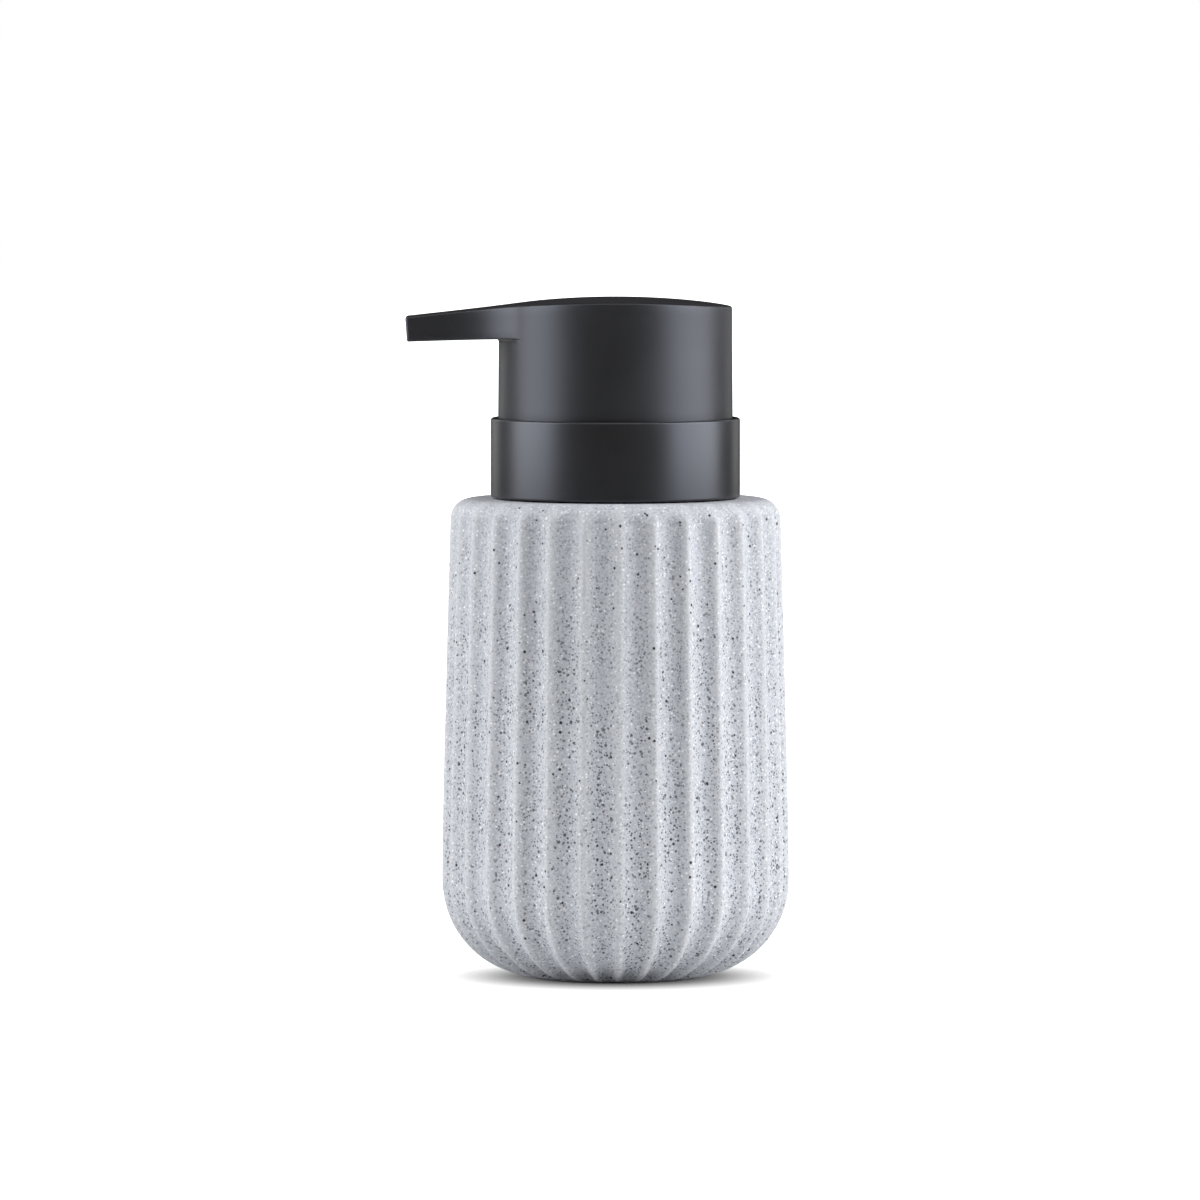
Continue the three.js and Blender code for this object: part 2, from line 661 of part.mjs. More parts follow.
function headShell() {
  const skirt = outline([
    [0, HEAD_BOTTOM],
    [HEAD_R, HEAD_BOTTOM],
    [HEAD_TOP_R, HEAD_CREST],
    [0, HEAD_CREST],
  ]);
  const spout = solid(extrudeUp(spoutPlan(), SPOUT_UNDER_TIP - 1, HEAD_CREST, 6));
  const outside = solid(revolve(skirt, 72))
    .add(spout.intersect(solid(overSpout())))
    .intersect(solid(underTop()));
  const hollow = rod(HEAD_BORE_R, HEAD_BOTTOM - 1, HEAD_CEILING, 56);
  const ductEnd = OUTLET_X - OUTLET_R;
  const duct = rod(DUCT_R, ductEnd, 0, 16).rotateY(Math.PI / 2).translate(0, 0, DUCT_Z);
  const outlet = rod(OUTLET_R, SPOUT_UNDER_TIP - 1, DUCT_Z, 20).translate(OUTLET_X, 0, 0);
  const body = outside.subtract(solid(hollow)).subtract(solid(duct)).subtract(solid(outlet));
  return piece("head_shell", body, softBlack);
}

const CORE_PLATE_BOTTOM = CAP_TOP + STROKE + 0.6; // clears the cap when the head is down
const CORE_PLATE_THICK = 1.4;
const HUB_R = 6.4;

// A plate across the head with a hub: stem socket below, and a cross bore to the spout tube.
function actuatorCore() {
  const socketR = STEM_R + GAP;
  const hubBottom = CORE_PLATE_BOTTOM - 1;
  const section = outline([
    [socketR, hubBottom],
    [HUB_R, hubBottom],
    [HUB_R, CORE_PLATE_BOTTOM],
    [HEAD_BORE_R - GAP, CORE_PLATE_BOTTOM],
    [HEAD_BORE_R - GAP, CORE_PLATE_BOTTOM + CORE_PLATE_THICK],
    [HUB_R, CORE_PLATE_BOTTOM + CORE_PLATE_THICK],
    [HUB_R, HEAD_CEILING - GAP],
    [0, HEAD_CEILING - GAP],
    [0, STEM_TOP + GAP],
    [socketR, STEM_TOP + GAP],
    [socketR, hubBottom],
  ]);
  const crossBore = rod(DUCT_R, -HUB_R - 1, 0, 16).rotateY(Math.PI / 2).translate(0, 0, DUCT_Z);
  const feed = rod(DUCT_R, STEM_TOP, DUCT_Z, 16);
  const body = solid(revolve(section, 40)).subtract(solid(crossBore)).subtract(solid(feed));
  return piece("actuator_core", body, blackPlastic);
}

function spoutTube() {
  const start = -STEM_R;
  const end = OUTLET_X + OUTLET_R + GAP;
  const boreR = DUCT_R - 0.9;
  const tube = ring(DUCT_R - GAP, boreR, end, start, 16);
  return piece("spout_tube", tube.rotateY(Math.PI / 2).translate(0, 0, DUCT_Z), clearPlastic);
}

// A short ring in the outlet. The duct's end lies open above it.
function nozzleInsert() {
  const bottom = SPOUT_UNDER_TIP + 0.25;
  const height = 1.7;
  const boreR = 1.3;
  const lip = ring(OUTLET_R - GAP, boreR, bottom, bottom + height, 20);
  return piece("nozzle_insert", lip.translate(OUTLET_X, 0, 0), blackPlastic);
}

// ---- assembly ---------------------------------------------------------------------------

const dispenser = new THREE.Group();

const jar = new THREE.Group();
jar.add(vessel(), basePad(), neckInsert());

const collar = new THREE.Group();
collar.add(screwCap(), collarShell());

const pump = new THREE.Group();
pump.add(neckGasket(), pumpHousing(), chaplet(), stemWiper(), valveRetainer(), inletBall(), dipTube());

const plunger = new THREE.Group();
plunger.add(returnSpring(), pistonRod(), piston(), stem());

const head = new THREE.Group();
head.add(headShell(), actuatorCore(), spoutTube(), nozzleInsert());

dispenser.add(jar, collar, pump, plunger, head);

export default dispenser;
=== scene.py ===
"""A fluted cast-stone soap dispenser with a matt black press pump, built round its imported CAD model.

Everything is in metres, +Z up, with the origin on the jar's axis at the surface it stands on.
The spout points along -X.
"""

import json
import math

import bmesh
import bpy
from mathutils import Matrix, Vector


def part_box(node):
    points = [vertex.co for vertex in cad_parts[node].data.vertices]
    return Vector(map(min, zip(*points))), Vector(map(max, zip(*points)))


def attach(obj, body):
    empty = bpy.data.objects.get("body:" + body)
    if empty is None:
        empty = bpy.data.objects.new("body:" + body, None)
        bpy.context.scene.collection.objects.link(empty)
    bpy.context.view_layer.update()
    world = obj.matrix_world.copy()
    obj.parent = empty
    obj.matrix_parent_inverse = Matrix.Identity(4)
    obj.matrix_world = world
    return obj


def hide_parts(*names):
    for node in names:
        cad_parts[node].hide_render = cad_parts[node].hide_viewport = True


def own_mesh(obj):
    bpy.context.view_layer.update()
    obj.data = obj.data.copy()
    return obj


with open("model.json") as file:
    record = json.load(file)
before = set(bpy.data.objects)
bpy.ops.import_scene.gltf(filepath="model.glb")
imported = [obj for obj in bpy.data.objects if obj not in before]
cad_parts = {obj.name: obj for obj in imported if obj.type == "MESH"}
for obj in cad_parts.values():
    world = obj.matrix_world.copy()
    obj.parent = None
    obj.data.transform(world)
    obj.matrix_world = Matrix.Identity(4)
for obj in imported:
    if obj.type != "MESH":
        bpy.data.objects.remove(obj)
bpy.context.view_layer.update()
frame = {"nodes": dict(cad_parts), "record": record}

MM = 0.001
GAP = 0.3 * MM  # between pieces that don't touch, as in the CAD model
ON_AXIS = 1e-7  # a radius or a length under this is nothing
BEHAVIOUR = frame["record"]["behaviour"]


def smoothstep(x, low, high):
    t = min(max((x - low) / (high - low), 0.0), 1.0)
    return t * t * (3 - 2 * t)


def lerp(a, b, t):
    return a + (b - a) * t


def on_curve(start, bend, end, t):
    """A point of the quadratic curve from start to end that bend pulls to itself."""
    return start * (1 - t) ** 2 + bend * 2 * t * (1 - t) + end * t ** 2


# ---- camera, light and floor ------------------------------------------------------------

CAMERA_DISTANCE = 2.48
CAMERA_HEIGHT = 0.223
AIM = Vector((-0.0034, 0.0, 0.0833))  # the middle of the picture, on the object's axis plane
FIELD = 0.2649  # width of the picture at the object
SENSOR = 0.036
CLIP_END = 20

LIGHT_TARGET = (0, 0, 0.1)
LIGHTS = {  # place, (width, height), watts
    "softbox_left": ((-1.0, -0.13, 0.35), (0.92, 1.3), 19.0),
    "softbox_right": ((1.0, -0.18, 0.35), (1.1, 1.3), 25.0),
    "softbox_top": ((0.1, -0.75, 1.45), (1.9, 1.6), 12.0),
    "rim_left": ((-0.67, 1.0, 0.3), (0.35, 1.2), 1.7),
    "rim_right": ((0.67, 1.0, 0.3), (0.35, 1.2), 1.3),
}
ROOM_COLOUR = (0.95, 0.97, 1.0, 1)
ROOM_STRENGTH = 0.010

FLOOR_RADIUS = 6
# The floor glows to the camera; ambient occlusion paints a contact shadow into that glow near the
# dispenser.
FLOOR_PAINTED_SHADOW_REACH = 0.4  # what stands farther off than this doesn't darken the floor
FLOOR_GLOW_BRIGHTNESS = 1.9
FLOOR_PAINTED_SHADOW_DARKEST = 0.06
PAPER_NEAR = (0.2, 0.8)  # distance and albedo where the paper starts to get darker
PAPER_FAR = (0.6, 0.03)  # and where it ends


def look_at(obj, target):
    toward = Vector(target) - obj.location
    obj.rotation_euler = toward.to_track_quat("-Z", "Y").to_euler()


def make_camera():
    data = bpy.data.cameras.new("camera")
    camera = bpy.data.objects.new("camera", data)
    bpy.context.scene.collection.objects.link(camera)
    camera.location = (AIM.x, -CAMERA_DISTANCE, CAMERA_HEIGHT)
    look_at(camera, AIM)
    reach = (camera.location - AIM).length
    data.sensor_width = SENSOR / MM
    data.lens = SENSOR / MM * reach / FIELD
    data.clip_end = CLIP_END
    bpy.context.scene.camera = camera


def make_lights():
    for name, (place, size, power) in LIGHTS.items():
        data = bpy.data.lights.new(name, "AREA")
        data.shape = "RECTANGLE"
        data.size, data.size_y = size
        data.energy = power
        light = bpy.data.objects.new(name, data)
        bpy.context.scene.collection.objects.link(light)
        light.location = place
        look_at(light, LIGHT_TARGET)


def make_world():
    """Dim white surroundings for the light, and a white backdrop for the camera."""
    world = bpy.data.worlds.new("studio")
    bpy.context.scene.world = world
    world.use_nodes = True
    tree = world.node_tree
    tree.nodes.clear()
    output = tree.nodes.new("ShaderNodeOutputWorld")
    mix = tree.nodes.new("ShaderNodeMixShader")
    path = tree.nodes.new("ShaderNodeLightPath")
    room = tree.nodes.new("ShaderNodeBackground")
    room.inputs["Color"].default_value = ROOM_COLOUR
    room.inputs["Strength"].default_value = ROOM_STRENGTH
    backdrop = tree.nodes.new("ShaderNodeBackground")
    backdrop.inputs["Color"].default_value = (1, 1, 1, 1)
    backdrop.inputs["Strength"].default_value = 1.0
    tree.links.new(path.outputs["Is Camera Ray"], mix.inputs["Fac"])
    tree.links.new(room.outputs["Background"], mix.inputs[1])
    tree.links.new(backdrop.outputs["Background"], mix.inputs[2])
    tree.links.new(mix.outputs["Shader"], output.inputs["Surface"])


def make_floor():
    """White paper. To the camera it is a glow with a painted shadow: its brightness is painted from
    how open its view is (ambient occlusion), so it goes over into the white backdrop everywhere but
    close to the dispenser, where the painted contact shadow darkens it. To the light it is plain
    paper, which gets darker farther off."""
    material = bpy.data.materials.new("floor_paper_painted_shadow")
    material.use_nodes = True
    tree = material.node_tree
    tree.nodes.clear()
    output = tree.nodes.new("ShaderNodeOutputMaterial")
    paper = tree.nodes.new("ShaderNodeBsdfDiffuse")
    place = tree.nodes.new("ShaderNodeTexCoord")
    reach = tree.nodes.new("ShaderNodeVectorMath")
    reach.operation = "LENGTH"
    dim = tree.nodes.new("ShaderNodeMapRange")
    dim.inputs["From Min"].default_value, dim.inputs["To Min"].default_value = PAPER_NEAR
    dim.inputs["From Max"].default_value, dim.inputs["To Max"].default_value = PAPER_FAR
    tree.links.new(place.outputs["Object"], reach.inputs[0])
    tree.links.new(reach.outputs["Value"], dim.inputs["Value"])
    tree.links.new(dim.outputs["Result"], paper.inputs["Color"])
    # painted contact shadow: ambient occlusion sets how brightly the floor glows to the camera
    painted_shadow_openness = tree.nodes.new("ShaderNodeAmbientOcclusion")
    painted_shadow_openness.inputs["Distance"].default_value = FLOOR_PAINTED_SHADOW_REACH
    painted_shadow_level = tree.nodes.new("ShaderNodeMapRange")
    painted_shadow_level.inputs["To Min"].default_value = FLOOR_PAINTED_SHADOW_DARKEST
    painted_shadow_level.inputs["To Max"].default_value = FLOOR_GLOW_BRIGHTNESS
    tree.links.new(painted_shadow_openness.outputs["AO"], painted_shadow_level.inputs["Value"])
    painted_floor_glow = tree.nodes.new("ShaderNodeEmission")
    tree.links.new(painted_shadow_level.outputs["Result"], painted_floor_glow.inputs["Strength"])
    mix = tree.nodes.new("ShaderNodeMixShader")
    path = tree.nodes.new("ShaderNodeLightPath")
    tree.links.new(path.outputs["Is Camera Ray"], mix.inputs["Fac"])
    tree.links.new(paper.outputs["BSDF"], mix.inputs[1])
    tree.links.new(painted_floor_glow.outputs["Emission"], mix.inputs[2])
    tree.links.new(mix.outputs["Shader"], output.inputs["Surface"])
    bm = bmesh.new()
    bmesh.ops.create_circle(bm, cap_ends=True, segments=96, radius=FLOOR_RADIUS)
    mesh = bpy.data.meshes.new("floor")
    bm.to_mesh(mesh)
    bm.free()
    mesh.materials.append(material)
    floor = bpy.data.objects.new("floor", mesh)
    bpy.context.scene.collection.objects.link(floor)


# ---- material helpers ---------------------------------------------------------------------


SPECK_EDGE = 0.09  # width of a speck's soft edge, in cells


class Look:
    """A procedural material: a Principled shader and short calls for the textures that feed it.
    Textures use the object's own coordinates, in metres, so scales are in features per metre."""

    def __init__(self, name):
        self.material = bpy.data.materials.new(name)
        self.material.use_nodes = True
        self.tree = self.material.node_tree
        self.shader = self.tree.nodes["Principled BSDF"]
        self.place = self.tree.nodes.new("ShaderNodeTexCoord").outputs["Object"]

    def set(self, **values):
        for name, value in values.items():
            self.shader.inputs[name.replace("_", " ")].default_value = value
        return self

    def link(self, socket, name):
        self.tree.links.new(socket, self.shader.inputs[name])

    def shifted(self, offset, source):
        node = self.tree.nodes.new("ShaderNodeMapping")
        node.inputs["Location"].default_value = offset
        self.tree.links.new(source, node.inputs["Vector"])
        return node.outputs["Vector"]

    def stretched(self, scale):
        """The place, scaled, so a pattern gets longer along an axis with a small scale."""
        node = self.tree.nodes.new("ShaderNodeMapping")
        node.inputs["Scale"].default_value = scale
        self.tree.links.new(self.place, node.inputs["Vector"])
        return node.outputs["Vector"]

    def axes(self):
        """X, Y and Z of the place, each on its own."""
        node = self.tree.nodes.new("ShaderNodeSeparateXYZ")
        self.tree.links.new(self.place, node.inputs["Vector"])
        return node.outputs["X"], node.outputs["Y"], node.outputs["Z"]

    def jittered(self, scale, reach):
        """The place, pushed about by up to reach, so round cells get ragged edges."""
        noise = self.tree.nodes.new("ShaderNodeTexNoise")
        noise.inputs["Scale"].default_value = scale
        self.tree.links.new(self.place, noise.inputs["Vector"])
        centred = self.tree.nodes.new("ShaderNodeVectorMath")
        centred.operation = "SUBTRACT"
        centred.inputs[1].default_value = (0.5, 0.5, 0.5)
        self.tree.links.new(noise.outputs["Color"], centred.inputs[0])
        pushed = self.tree.nodes.new("ShaderNodeVectorMath")
        pushed.operation = "MULTIPLY_ADD"
        pushed.inputs[1].default_value = (2 * reach, 2 * reach, 2 * reach)
        self.tree.links.new(centred.outputs["Vector"], pushed.inputs[0])
        self.tree.links.new(self.place, pushed.inputs[2])
        return pushed.outputs["Vector"]

    def noise(self, scale, detail=2.0, roughness=0.5, place=None):
        node = self.tree.nodes.new("ShaderNodeTexNoise")
        node.inputs["Scale"].default_value = scale
        node.inputs["Detail"].default_value = detail
        node.inputs["Roughness"].default_value = roughness
        self.tree.links.new(place or self.place, node.inputs["Vector"])
        return node.outputs["Fac"]

    def cells(self, scale, place=None):
        """Distance to the cell's centre, in cells, and two random values for the cell."""
        node = self.tree.nodes.new("ShaderNodeTexVoronoi")
        node.inputs["Scale"].default_value = scale
        self.tree.links.new(place or self.place, node.inputs["Vector"])
        split = self.tree.nodes.new("ShaderNodeSeparateColor")
        self.tree.links.new(node.outputs["Color"], split.inputs["Color"])
        return node.outputs["Distance"], split.outputs["Red"], split.outputs["Green"]

    def spread(self, value, low, high, to_low, to_high, smooth=False):
        """The value, with low turned into to_low and high into to_high, and kept between them."""
        node = self.tree.nodes.new("ShaderNodeMapRange")
        if smooth:
            node.interpolation_type = "SMOOTHSTEP"
        names = ("From Min", "From Max", "To Min", "To Max")
        for name, number in zip(names, (low, high, to_low, to_high)):
            node.inputs[name].default_value = number
        self.tree.links.new(value, node.inputs["Value"])
        return node.outputs["Result"]

    def math(self, operation, a, b):
        node = self.tree.nodes.new("ShaderNodeMath")
        node.operation = operation
        for socket, value in zip(node.inputs, (a, b)):
            if isinstance(value, (int, float)):
                socket.default_value = value
            else:
                self.tree.links.new(value, socket)
        return node.outputs["Value"]

    def blend(self, share, a, b):
        """Colour a where share is 0 and b where it is 1. a and b are colours or sockets."""
        node = self.tree.nodes.new("ShaderNodeMix")
        node.data_type = "RGBA"
        self.tree.links.new(share, node.inputs["Factor"])
        for socket, value in zip((node.inputs[6], node.inputs[7]), (a, b)):
            if isinstance(value, tuple):
                socket.default_value = (*value, 1)
            else:
                self.tree.links.new(value, socket)
        return node.outputs[2]

    def bump(self, height, strength, depth):
        node = self.tree.nodes.new("ShaderNodeBump")
        node.inputs["Strength"].default_value = strength
        node.inputs["Distance"].default_value = depth
        self.tree.links.new(height, node.inputs["Height"])
        self.link(node.outputs["Normal"], "Normal")

    def specks(self, scale, rarity, small, large, place=None):
        """1 inside specks and 0 between them. A cell has a speck if its random value is over
        rarity. Its radius is from small to large, in cells."""
        distance, chance, size = self.cells(scale, place)
        radius = self.spread(size, 0, 1, small, large)
        present = self.math("GREATER_THAN", chance, rarity)
        inside = self.math("SUBTRACT", radius, distance)
        soft = self.spread(inside, 0, SPECK_EDGE, 0, 1)
        return self.math("MULTIPLY", soft, present)


STONE_LOW, STONE_HIGH = (0.338, 0.360, 0.409), (0.381, 0.401, 0.452)
STONE_GRAIN = (0.535, 0.547, 0.572)
# painted highlight colour for the flutes' crests
STONE_CREST_HIGHLIGHT = (0.56, 0.57, 0.585)
STONE_PALE_SPECK = (0.82, 0.825, 0.83)
STONE_DARK_SPECKS = (0.05, 0.053, 0.06), (0.16, 0.165, 0.18)
STONE_BOLD_SPECK = (0.03, 0.032, 0.037)


def on_crests(look):
    """1 along the crests between the jar's flutes and 0 in their hollows."""
    x, y, _ = look.axes()
    angle = look.math("ARCTAN2", y, x)
    phase = look.math("MULTIPLY", look.math("SUBTRACT", angle, FLUTE_TURN), FLUTES)
    return look.spread(look.math("COSINE", phase, 0), 0.1, 1, 0, 1, smooth=True)


def cast_stone():
    """Resin filled with stone powder: cool light grey with fine dark and pale grains, which gather in
    loose clouds and are thinner towards the rim. The flutes' crests are painted lighter and their
    hollows get more dark grains: a painted highlight on the crests and painted shade in the hollows."""
    look = Look("cast_stone").set(Roughness=0.8, Specular_IOR_Level=0.35)
    crest = on_crests(look)
    low_down = look.spread(look.axes()[2], 0.06, 0.104, 1, 0.35)
    cloud = look.spread(look.noise(90, 3), 0.35, 0.65, 0.55, 1)
    crowd = look.math("MULTIPLY", low_down, cloud)
    # painted shade and highlight: more dark grains in the flutes' hollows, fewer on the crests
    crowd = look.math("MULTIPLY", crowd, look.spread(crest, 0, 1, 1.25, 0.5))

    tone = look.spread(look.noise(38, 3), 0.35, 0.65, 0, 1)
    grain = look.noise(1750, 2, 0.6)
    base = look.blend(tone, STONE_LOW, STONE_HIGH)
    base = look.blend(look.spread(grain, 0.35, 0.68, 0, 1), base, STONE_GRAIN)
    # painted highlight: the flutes' crests blended towards a lighter grey
    base = look.blend(look.math("MULTIPLY", crest, 0.35), base, STONE_CREST_HIGHLIGHT)

    crumbled = look.jittered(3200, 0.00012)
    fine = look.specks(1520, 0.15, 0.18, 0.47, crumbled)
    middle = look.specks(950, 0.3, 0.14, 0.40, look.shifted((0.31, 0.17, 0.05), crumbled))
    bold = look.specks(530, 0.5, 0.10, 0.24, look.shifted((0.07, 0.41, 0.23), crumbled))
    pale = look.specks(1250, 0.45, 0.15, 0.38, look.shifted((0.53, 0.11, 0.37), crumbled))
    fine = look.math("MULTIPLY", fine, crowd)
    middle = look.math("MULTIPLY", middle, crowd)
    shade = look.spread(look.noise(900, 1), 0.3, 0.7, 0, 1)
    dark = look.blend(shade, *STONE_DARK_SPECKS)
    colour = look.blend(look.math("MULTIPLY", pale, 0.65), base, STONE_PALE_SPECK)
    colour = look.blend(look.math("MULTIPLY", fine, 0.8), colour, dark)
    colour = look.blend(look.math("MULTIPLY", middle, 0.95), colour, dark)
    look.link(look.blend(bold, colour, STONE_BOLD_SPECK), "Base Color")

    pits = look.math("ADD", fine, middle)
    bumps = look.math("MULTIPLY", grain, 1.4)
    relief = look.math("SUBTRACT", bumps, look.math("MULTIPLY", pits, 0.6))
    look.link(look.spread(pits, 0, 1, 0.82, 0.66), "Roughness")
    look.bump(relief, 0.55, 0.00014)
    return look.material


BLACK_LOW, BLACK_HIGH = (0.0115, 0.0105, 0.0102), (0.0150, 0.0140, 0.0137)
BLACK_DUST = (0.12, 0.12, 0.125)
COLLAR_SMOOTHER = 0.07  # how much less rough the paint is on the collar than on the head


def soft_black():
    """Soft-touch paint on plastic: very dark, satin, with a fine even grain and a cool gloss.
    It is a little smoother on the collar than on the head above it."""
    look = Look("soft_black").set(Specular_IOR_Level=0.68, Specular_Tint=(0.78, 0.84, 1.0, 1))
    drift = look.noise(38, 3)
    grain = look.noise(5200, 2, 0.6)
    colour = look.blend(look.spread(drift, 0.35, 0.65, 0, 1), BLACK_LOW, BLACK_HIGH)
    dust = look.specks(420, 0.93, 0.03, 0.09)
    colour = look.blend(look.math("MULTIPLY", dust, 0.35), colour, BLACK_DUST)
    look.link(colour, "Base Color")
    collar_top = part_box("collar_shell")[1].z
    z = look.axes()[2]
    smoother = look.spread(z, collar_top, collar_top + 0.2 * MM, COLLAR_SMOOTHER, 0)
    rough = look.spread(drift, 0.3, 0.7, 0.40, 0.46)
    look.link(look.math("SUBTRACT", rough, smoother), "Roughness")
    look.bump(grain, 0.12, 0.00003)
    return look.material


def foam_rubber():
    """The grey pad: fine closed cells and a dull surface."""
    look = Look("foam_rubber").set(Specular_IOR_Level=0.3)
    distance, _, tone = look.cells(2400)
    look.link(look.blend(tone, (0.12, 0.12, 0.125), (0.18, 0.18, 0.185)), "Base Color")
    look.link(look.spread(look.noise(300, 2), 0.3, 0.7, 0.85, 0.95), "Roughness")
    look.bump(distance, 0.5, 0.0001)
    return look.material


def moulded(name, dark, light, roughness, grain=1500, translucent=0.0):
    """Moulded plastic: faint flow streaks along Z in its colour, and a fine orange-peel skin."""
    look = Look(name).set(Specular_IOR_Level=0.5)
    if translucent:
        look.set(Subsurface_Weight=translucent, Subsurface_Scale=0.001)
    streak = look.noise(260, 3, 0.55, look.stretched((1, 1, 0.2)))
    look.link(look.blend(look.spread(streak, 0.3, 0.7, 0, 1), dark, light), "Base Color")
    sheen = look.noise(120, 2)
    look.link(look.spread(sheen, 0.3, 0.7, roughness - 0.05, roughness + 0.05), "Roughness")
    look.bump(look.noise(grain, 2), 0.08, 0.00004)
    return look.material


def clear_plastic():
    """Natural polyethylene tube: milky and see-through."""
    look = Look("clear_plastic").set(Transmission_Weight=0.75, IOR=1.5)
    streak = look.noise(420, 3, 0.5, look.stretched((1, 1, 0.05)))
    colour = look.blend(look.spread(streak, 0.3, 0.7, 0, 1), (0.82, 0.88, 0.9), (0.93, 0.95, 0.95))
    look.link(colour, "Base Color")
    look.link(look.spread(streak, 0.3, 0.7, 0.22, 0.36), "Roughness")
    look.bump(streak, 0.1, 0.00005)
    return look.material


def seal_foam():
    """White closed-cell foam of the neck's gasket."""
    look = Look("seal_foam").set(Specular_IOR_Level=0.3)
    distance, _, tone = look.cells(3200)
    look.link(look.blend(tone, (0.48, 0.475, 0.44), (0.62, 0.61, 0.58)), "Base Color")
    look.link(look.spread(look.noise(500, 2), 0.3, 0.7, 0.75, 0.9), "Roughness")
    look.bump(distance, 0.35, 0.00008)
    return look.material


def drawn_steel(name, roughness, along=(1, 1, 1)):
    """Bright stainless steel with fine drawing marks."""
    look = Look(name).set(Metallic=1.0)
    marks = look.noise(4200, 2, 0.6, look.stretched(along))
    tone = look.spread(look.noise(240, 2), 0.3, 0.7, 0, 1)
    look.link(look.blend(tone, (0.54, 0.55, 0.57), (0.66, 0.66, 0.67)), "Base Color")
    look.link(look.spread(marks, 0.3, 0.7, roughness - 0.08, roughness + 0.1), "Roughness")
    look.bump(marks, 0.15, 0.00002)
    return look.material


def make_materials():
    """The material of each slot in the record."""
    milky, milky_light = (0.53, 0.55, 0.545), (0.62, 0.64, 0.635)
    cream, cream_light = (0.55, 0.55, 0.525), (0.63, 0.63, 0.61)
    black, black_light = (0.012, 0.012, 0.013), (0.02, 0.02, 0.021)
    rubber, rubber_light = (0.02, 0.02, 0.021), (0.03, 0.03, 0.031)
    return {
        "cast_stone": cast_stone(),
        "soft_black": soft_black(),
        "pad_rubber": foam_rubber(),
        "seal_foam": seal_foam(),
        "clear_plastic": clear_plastic(),
        "natural_plastic": moulded("natural_plastic", milky, milky_light, 0.33, translucent=0.25),
        "seal_plastic": moulded("seal_plastic", cream, cream_light, 0.45, translucent=0.2),
        "black_plastic": moulded("black_plastic", black, black_light, 0.36, grain=2200),
        "seal_rubber": moulded("seal_rubber", rubber, rubber_light, 0.62, grain=2600),
        "ball_steel": drawn_steel("ball_steel", roughness=0.16),
        "spring_steel": drawn_steel("spring_steel", roughness=0.28, along=(1, 1, 0.3)),
    }


# ---- mesh helpers ---------------------------------------------------------------------------

NODE_SLOT = {part["node"]: part["material_slot"] for part in frame["record"]["subparts"]}
NODE_BODY = {node: body for body, nodes in BEHAVIOUR["bodies"].items() for node in nodes}
SHARP = math.radians(40)
NEARLY_STRAIGHT = math.radians(8)  # a corner under this stays as it is
STRAIGHT = math.radians(2)
WELD = 0.001 * MM
CUTTER_SIDES = 48


def finish_piece(name, bm, node):
    """Makes the object, with smooth shading between its sharp edges, in the place of a CAD node."""
    bmesh.ops.recalc_face_normals(bm, faces=bm.faces)
    for face in bm.faces:
        face.smooth = True
    for edge in bm.edges:
        edge.smooth = edge.is_manifold and edge.calc_face_angle(0) < SHARP
    mesh = bpy.data.meshes.new(name)
    bm.to_mesh(mesh)
    bm.free()
    piece = bpy.data.objects.new(name, mesh)
    bpy.context.scene.collection.objects.link(piece)
    mesh.materials.append(MATERIALS[NODE_SLOT[node]])
    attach(piece, NODE_BODY[node])
    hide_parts(node)
    return piece


def skin(bm, rings, closed=False):
    """Faces from each ring of points to the next, and from the last back to the first if
    closed. A ring may be a single point."""
    pairs = list(zip(rings, rings[1:]))
    if closed:
        pairs.append((rings[-1], rings[0]))
    for low, high in pairs:
        count = max(len(low), len(high))
        for i in range(count):
            k = (i + 1) % count
            corners = [
                low[i % len(low)],
                low[k % len(low)],
                high[k % len(high)],
                high[i % len(high)],
            ]
            add_face(bm, corners)


def add_face(bm, corners):
    """A face on the corners that differ, if they are three or more."""
    distinct = [v for n, v in enumerate(corners) if v not in corners[:n]]
    if len(distinct) > 2:
        bm.faces.new(distinct)


def ring_of(bm, radius, z, segments):
    """A level circle of points round Z, or its middle point where the radius is nothing."""
    if radius < ON_AXIS:
        return [bm.verts.new((0, 0, z))]
    angles = [2 * math.pi * i / segments for i in range(segments)]
    return [bm.verts.new((radius * math.cos(a), radius * math.sin(a), z)) for a in angles]


def spun(profile, segments):
    """A solid of revolution round Z. profile is a closed list of (radius, z), which may touch
    the axis in two neighbouring points."""
    bm = bmesh.new()
    rings = [ring_of(bm, radius, z, segments) for radius, z in profile]
    on_axis = [i for i, ring in enumerate(rings) if len(ring) == 1]
    if on_axis and on_axis != [0, len(rings) - 1]:
        rings = rings[on_axis[-1]:] + rings[:on_axis[-1]]
    skin(bm, rings, closed=not on_axis)
    return bm


def rounded(points, radius, steps=4):
    """The closed outline with each corner turned into an arc of about that radius, smaller
    where the sides are short. Points on the axis stay."""
    result = []
    count = len(points)
    for i, point in enumerate(points):
        here = Vector(point)
        before = Vector(points[i - 1]) - here
        after = Vector(points[(i + 1) % count]) - here
        if min(here.x, before.length, after.length) < ON_AXIS:
            result.append(tuple(here))
            continue
        turn = math.pi - before.angle(after)
        if turn < NEARLY_STRAIGHT:
            result.append(tuple(here))
            continue
        reach = min(radius * math.tan(turn / 2), 0.45 * before.length, 0.45 * after.length)
        start = here + before.normalized() * reach
        end = here + after.normalized() * reach
        result += [tuple(on_curve(start, here, end, k / steps)) for k in range(steps + 1)]
    return result


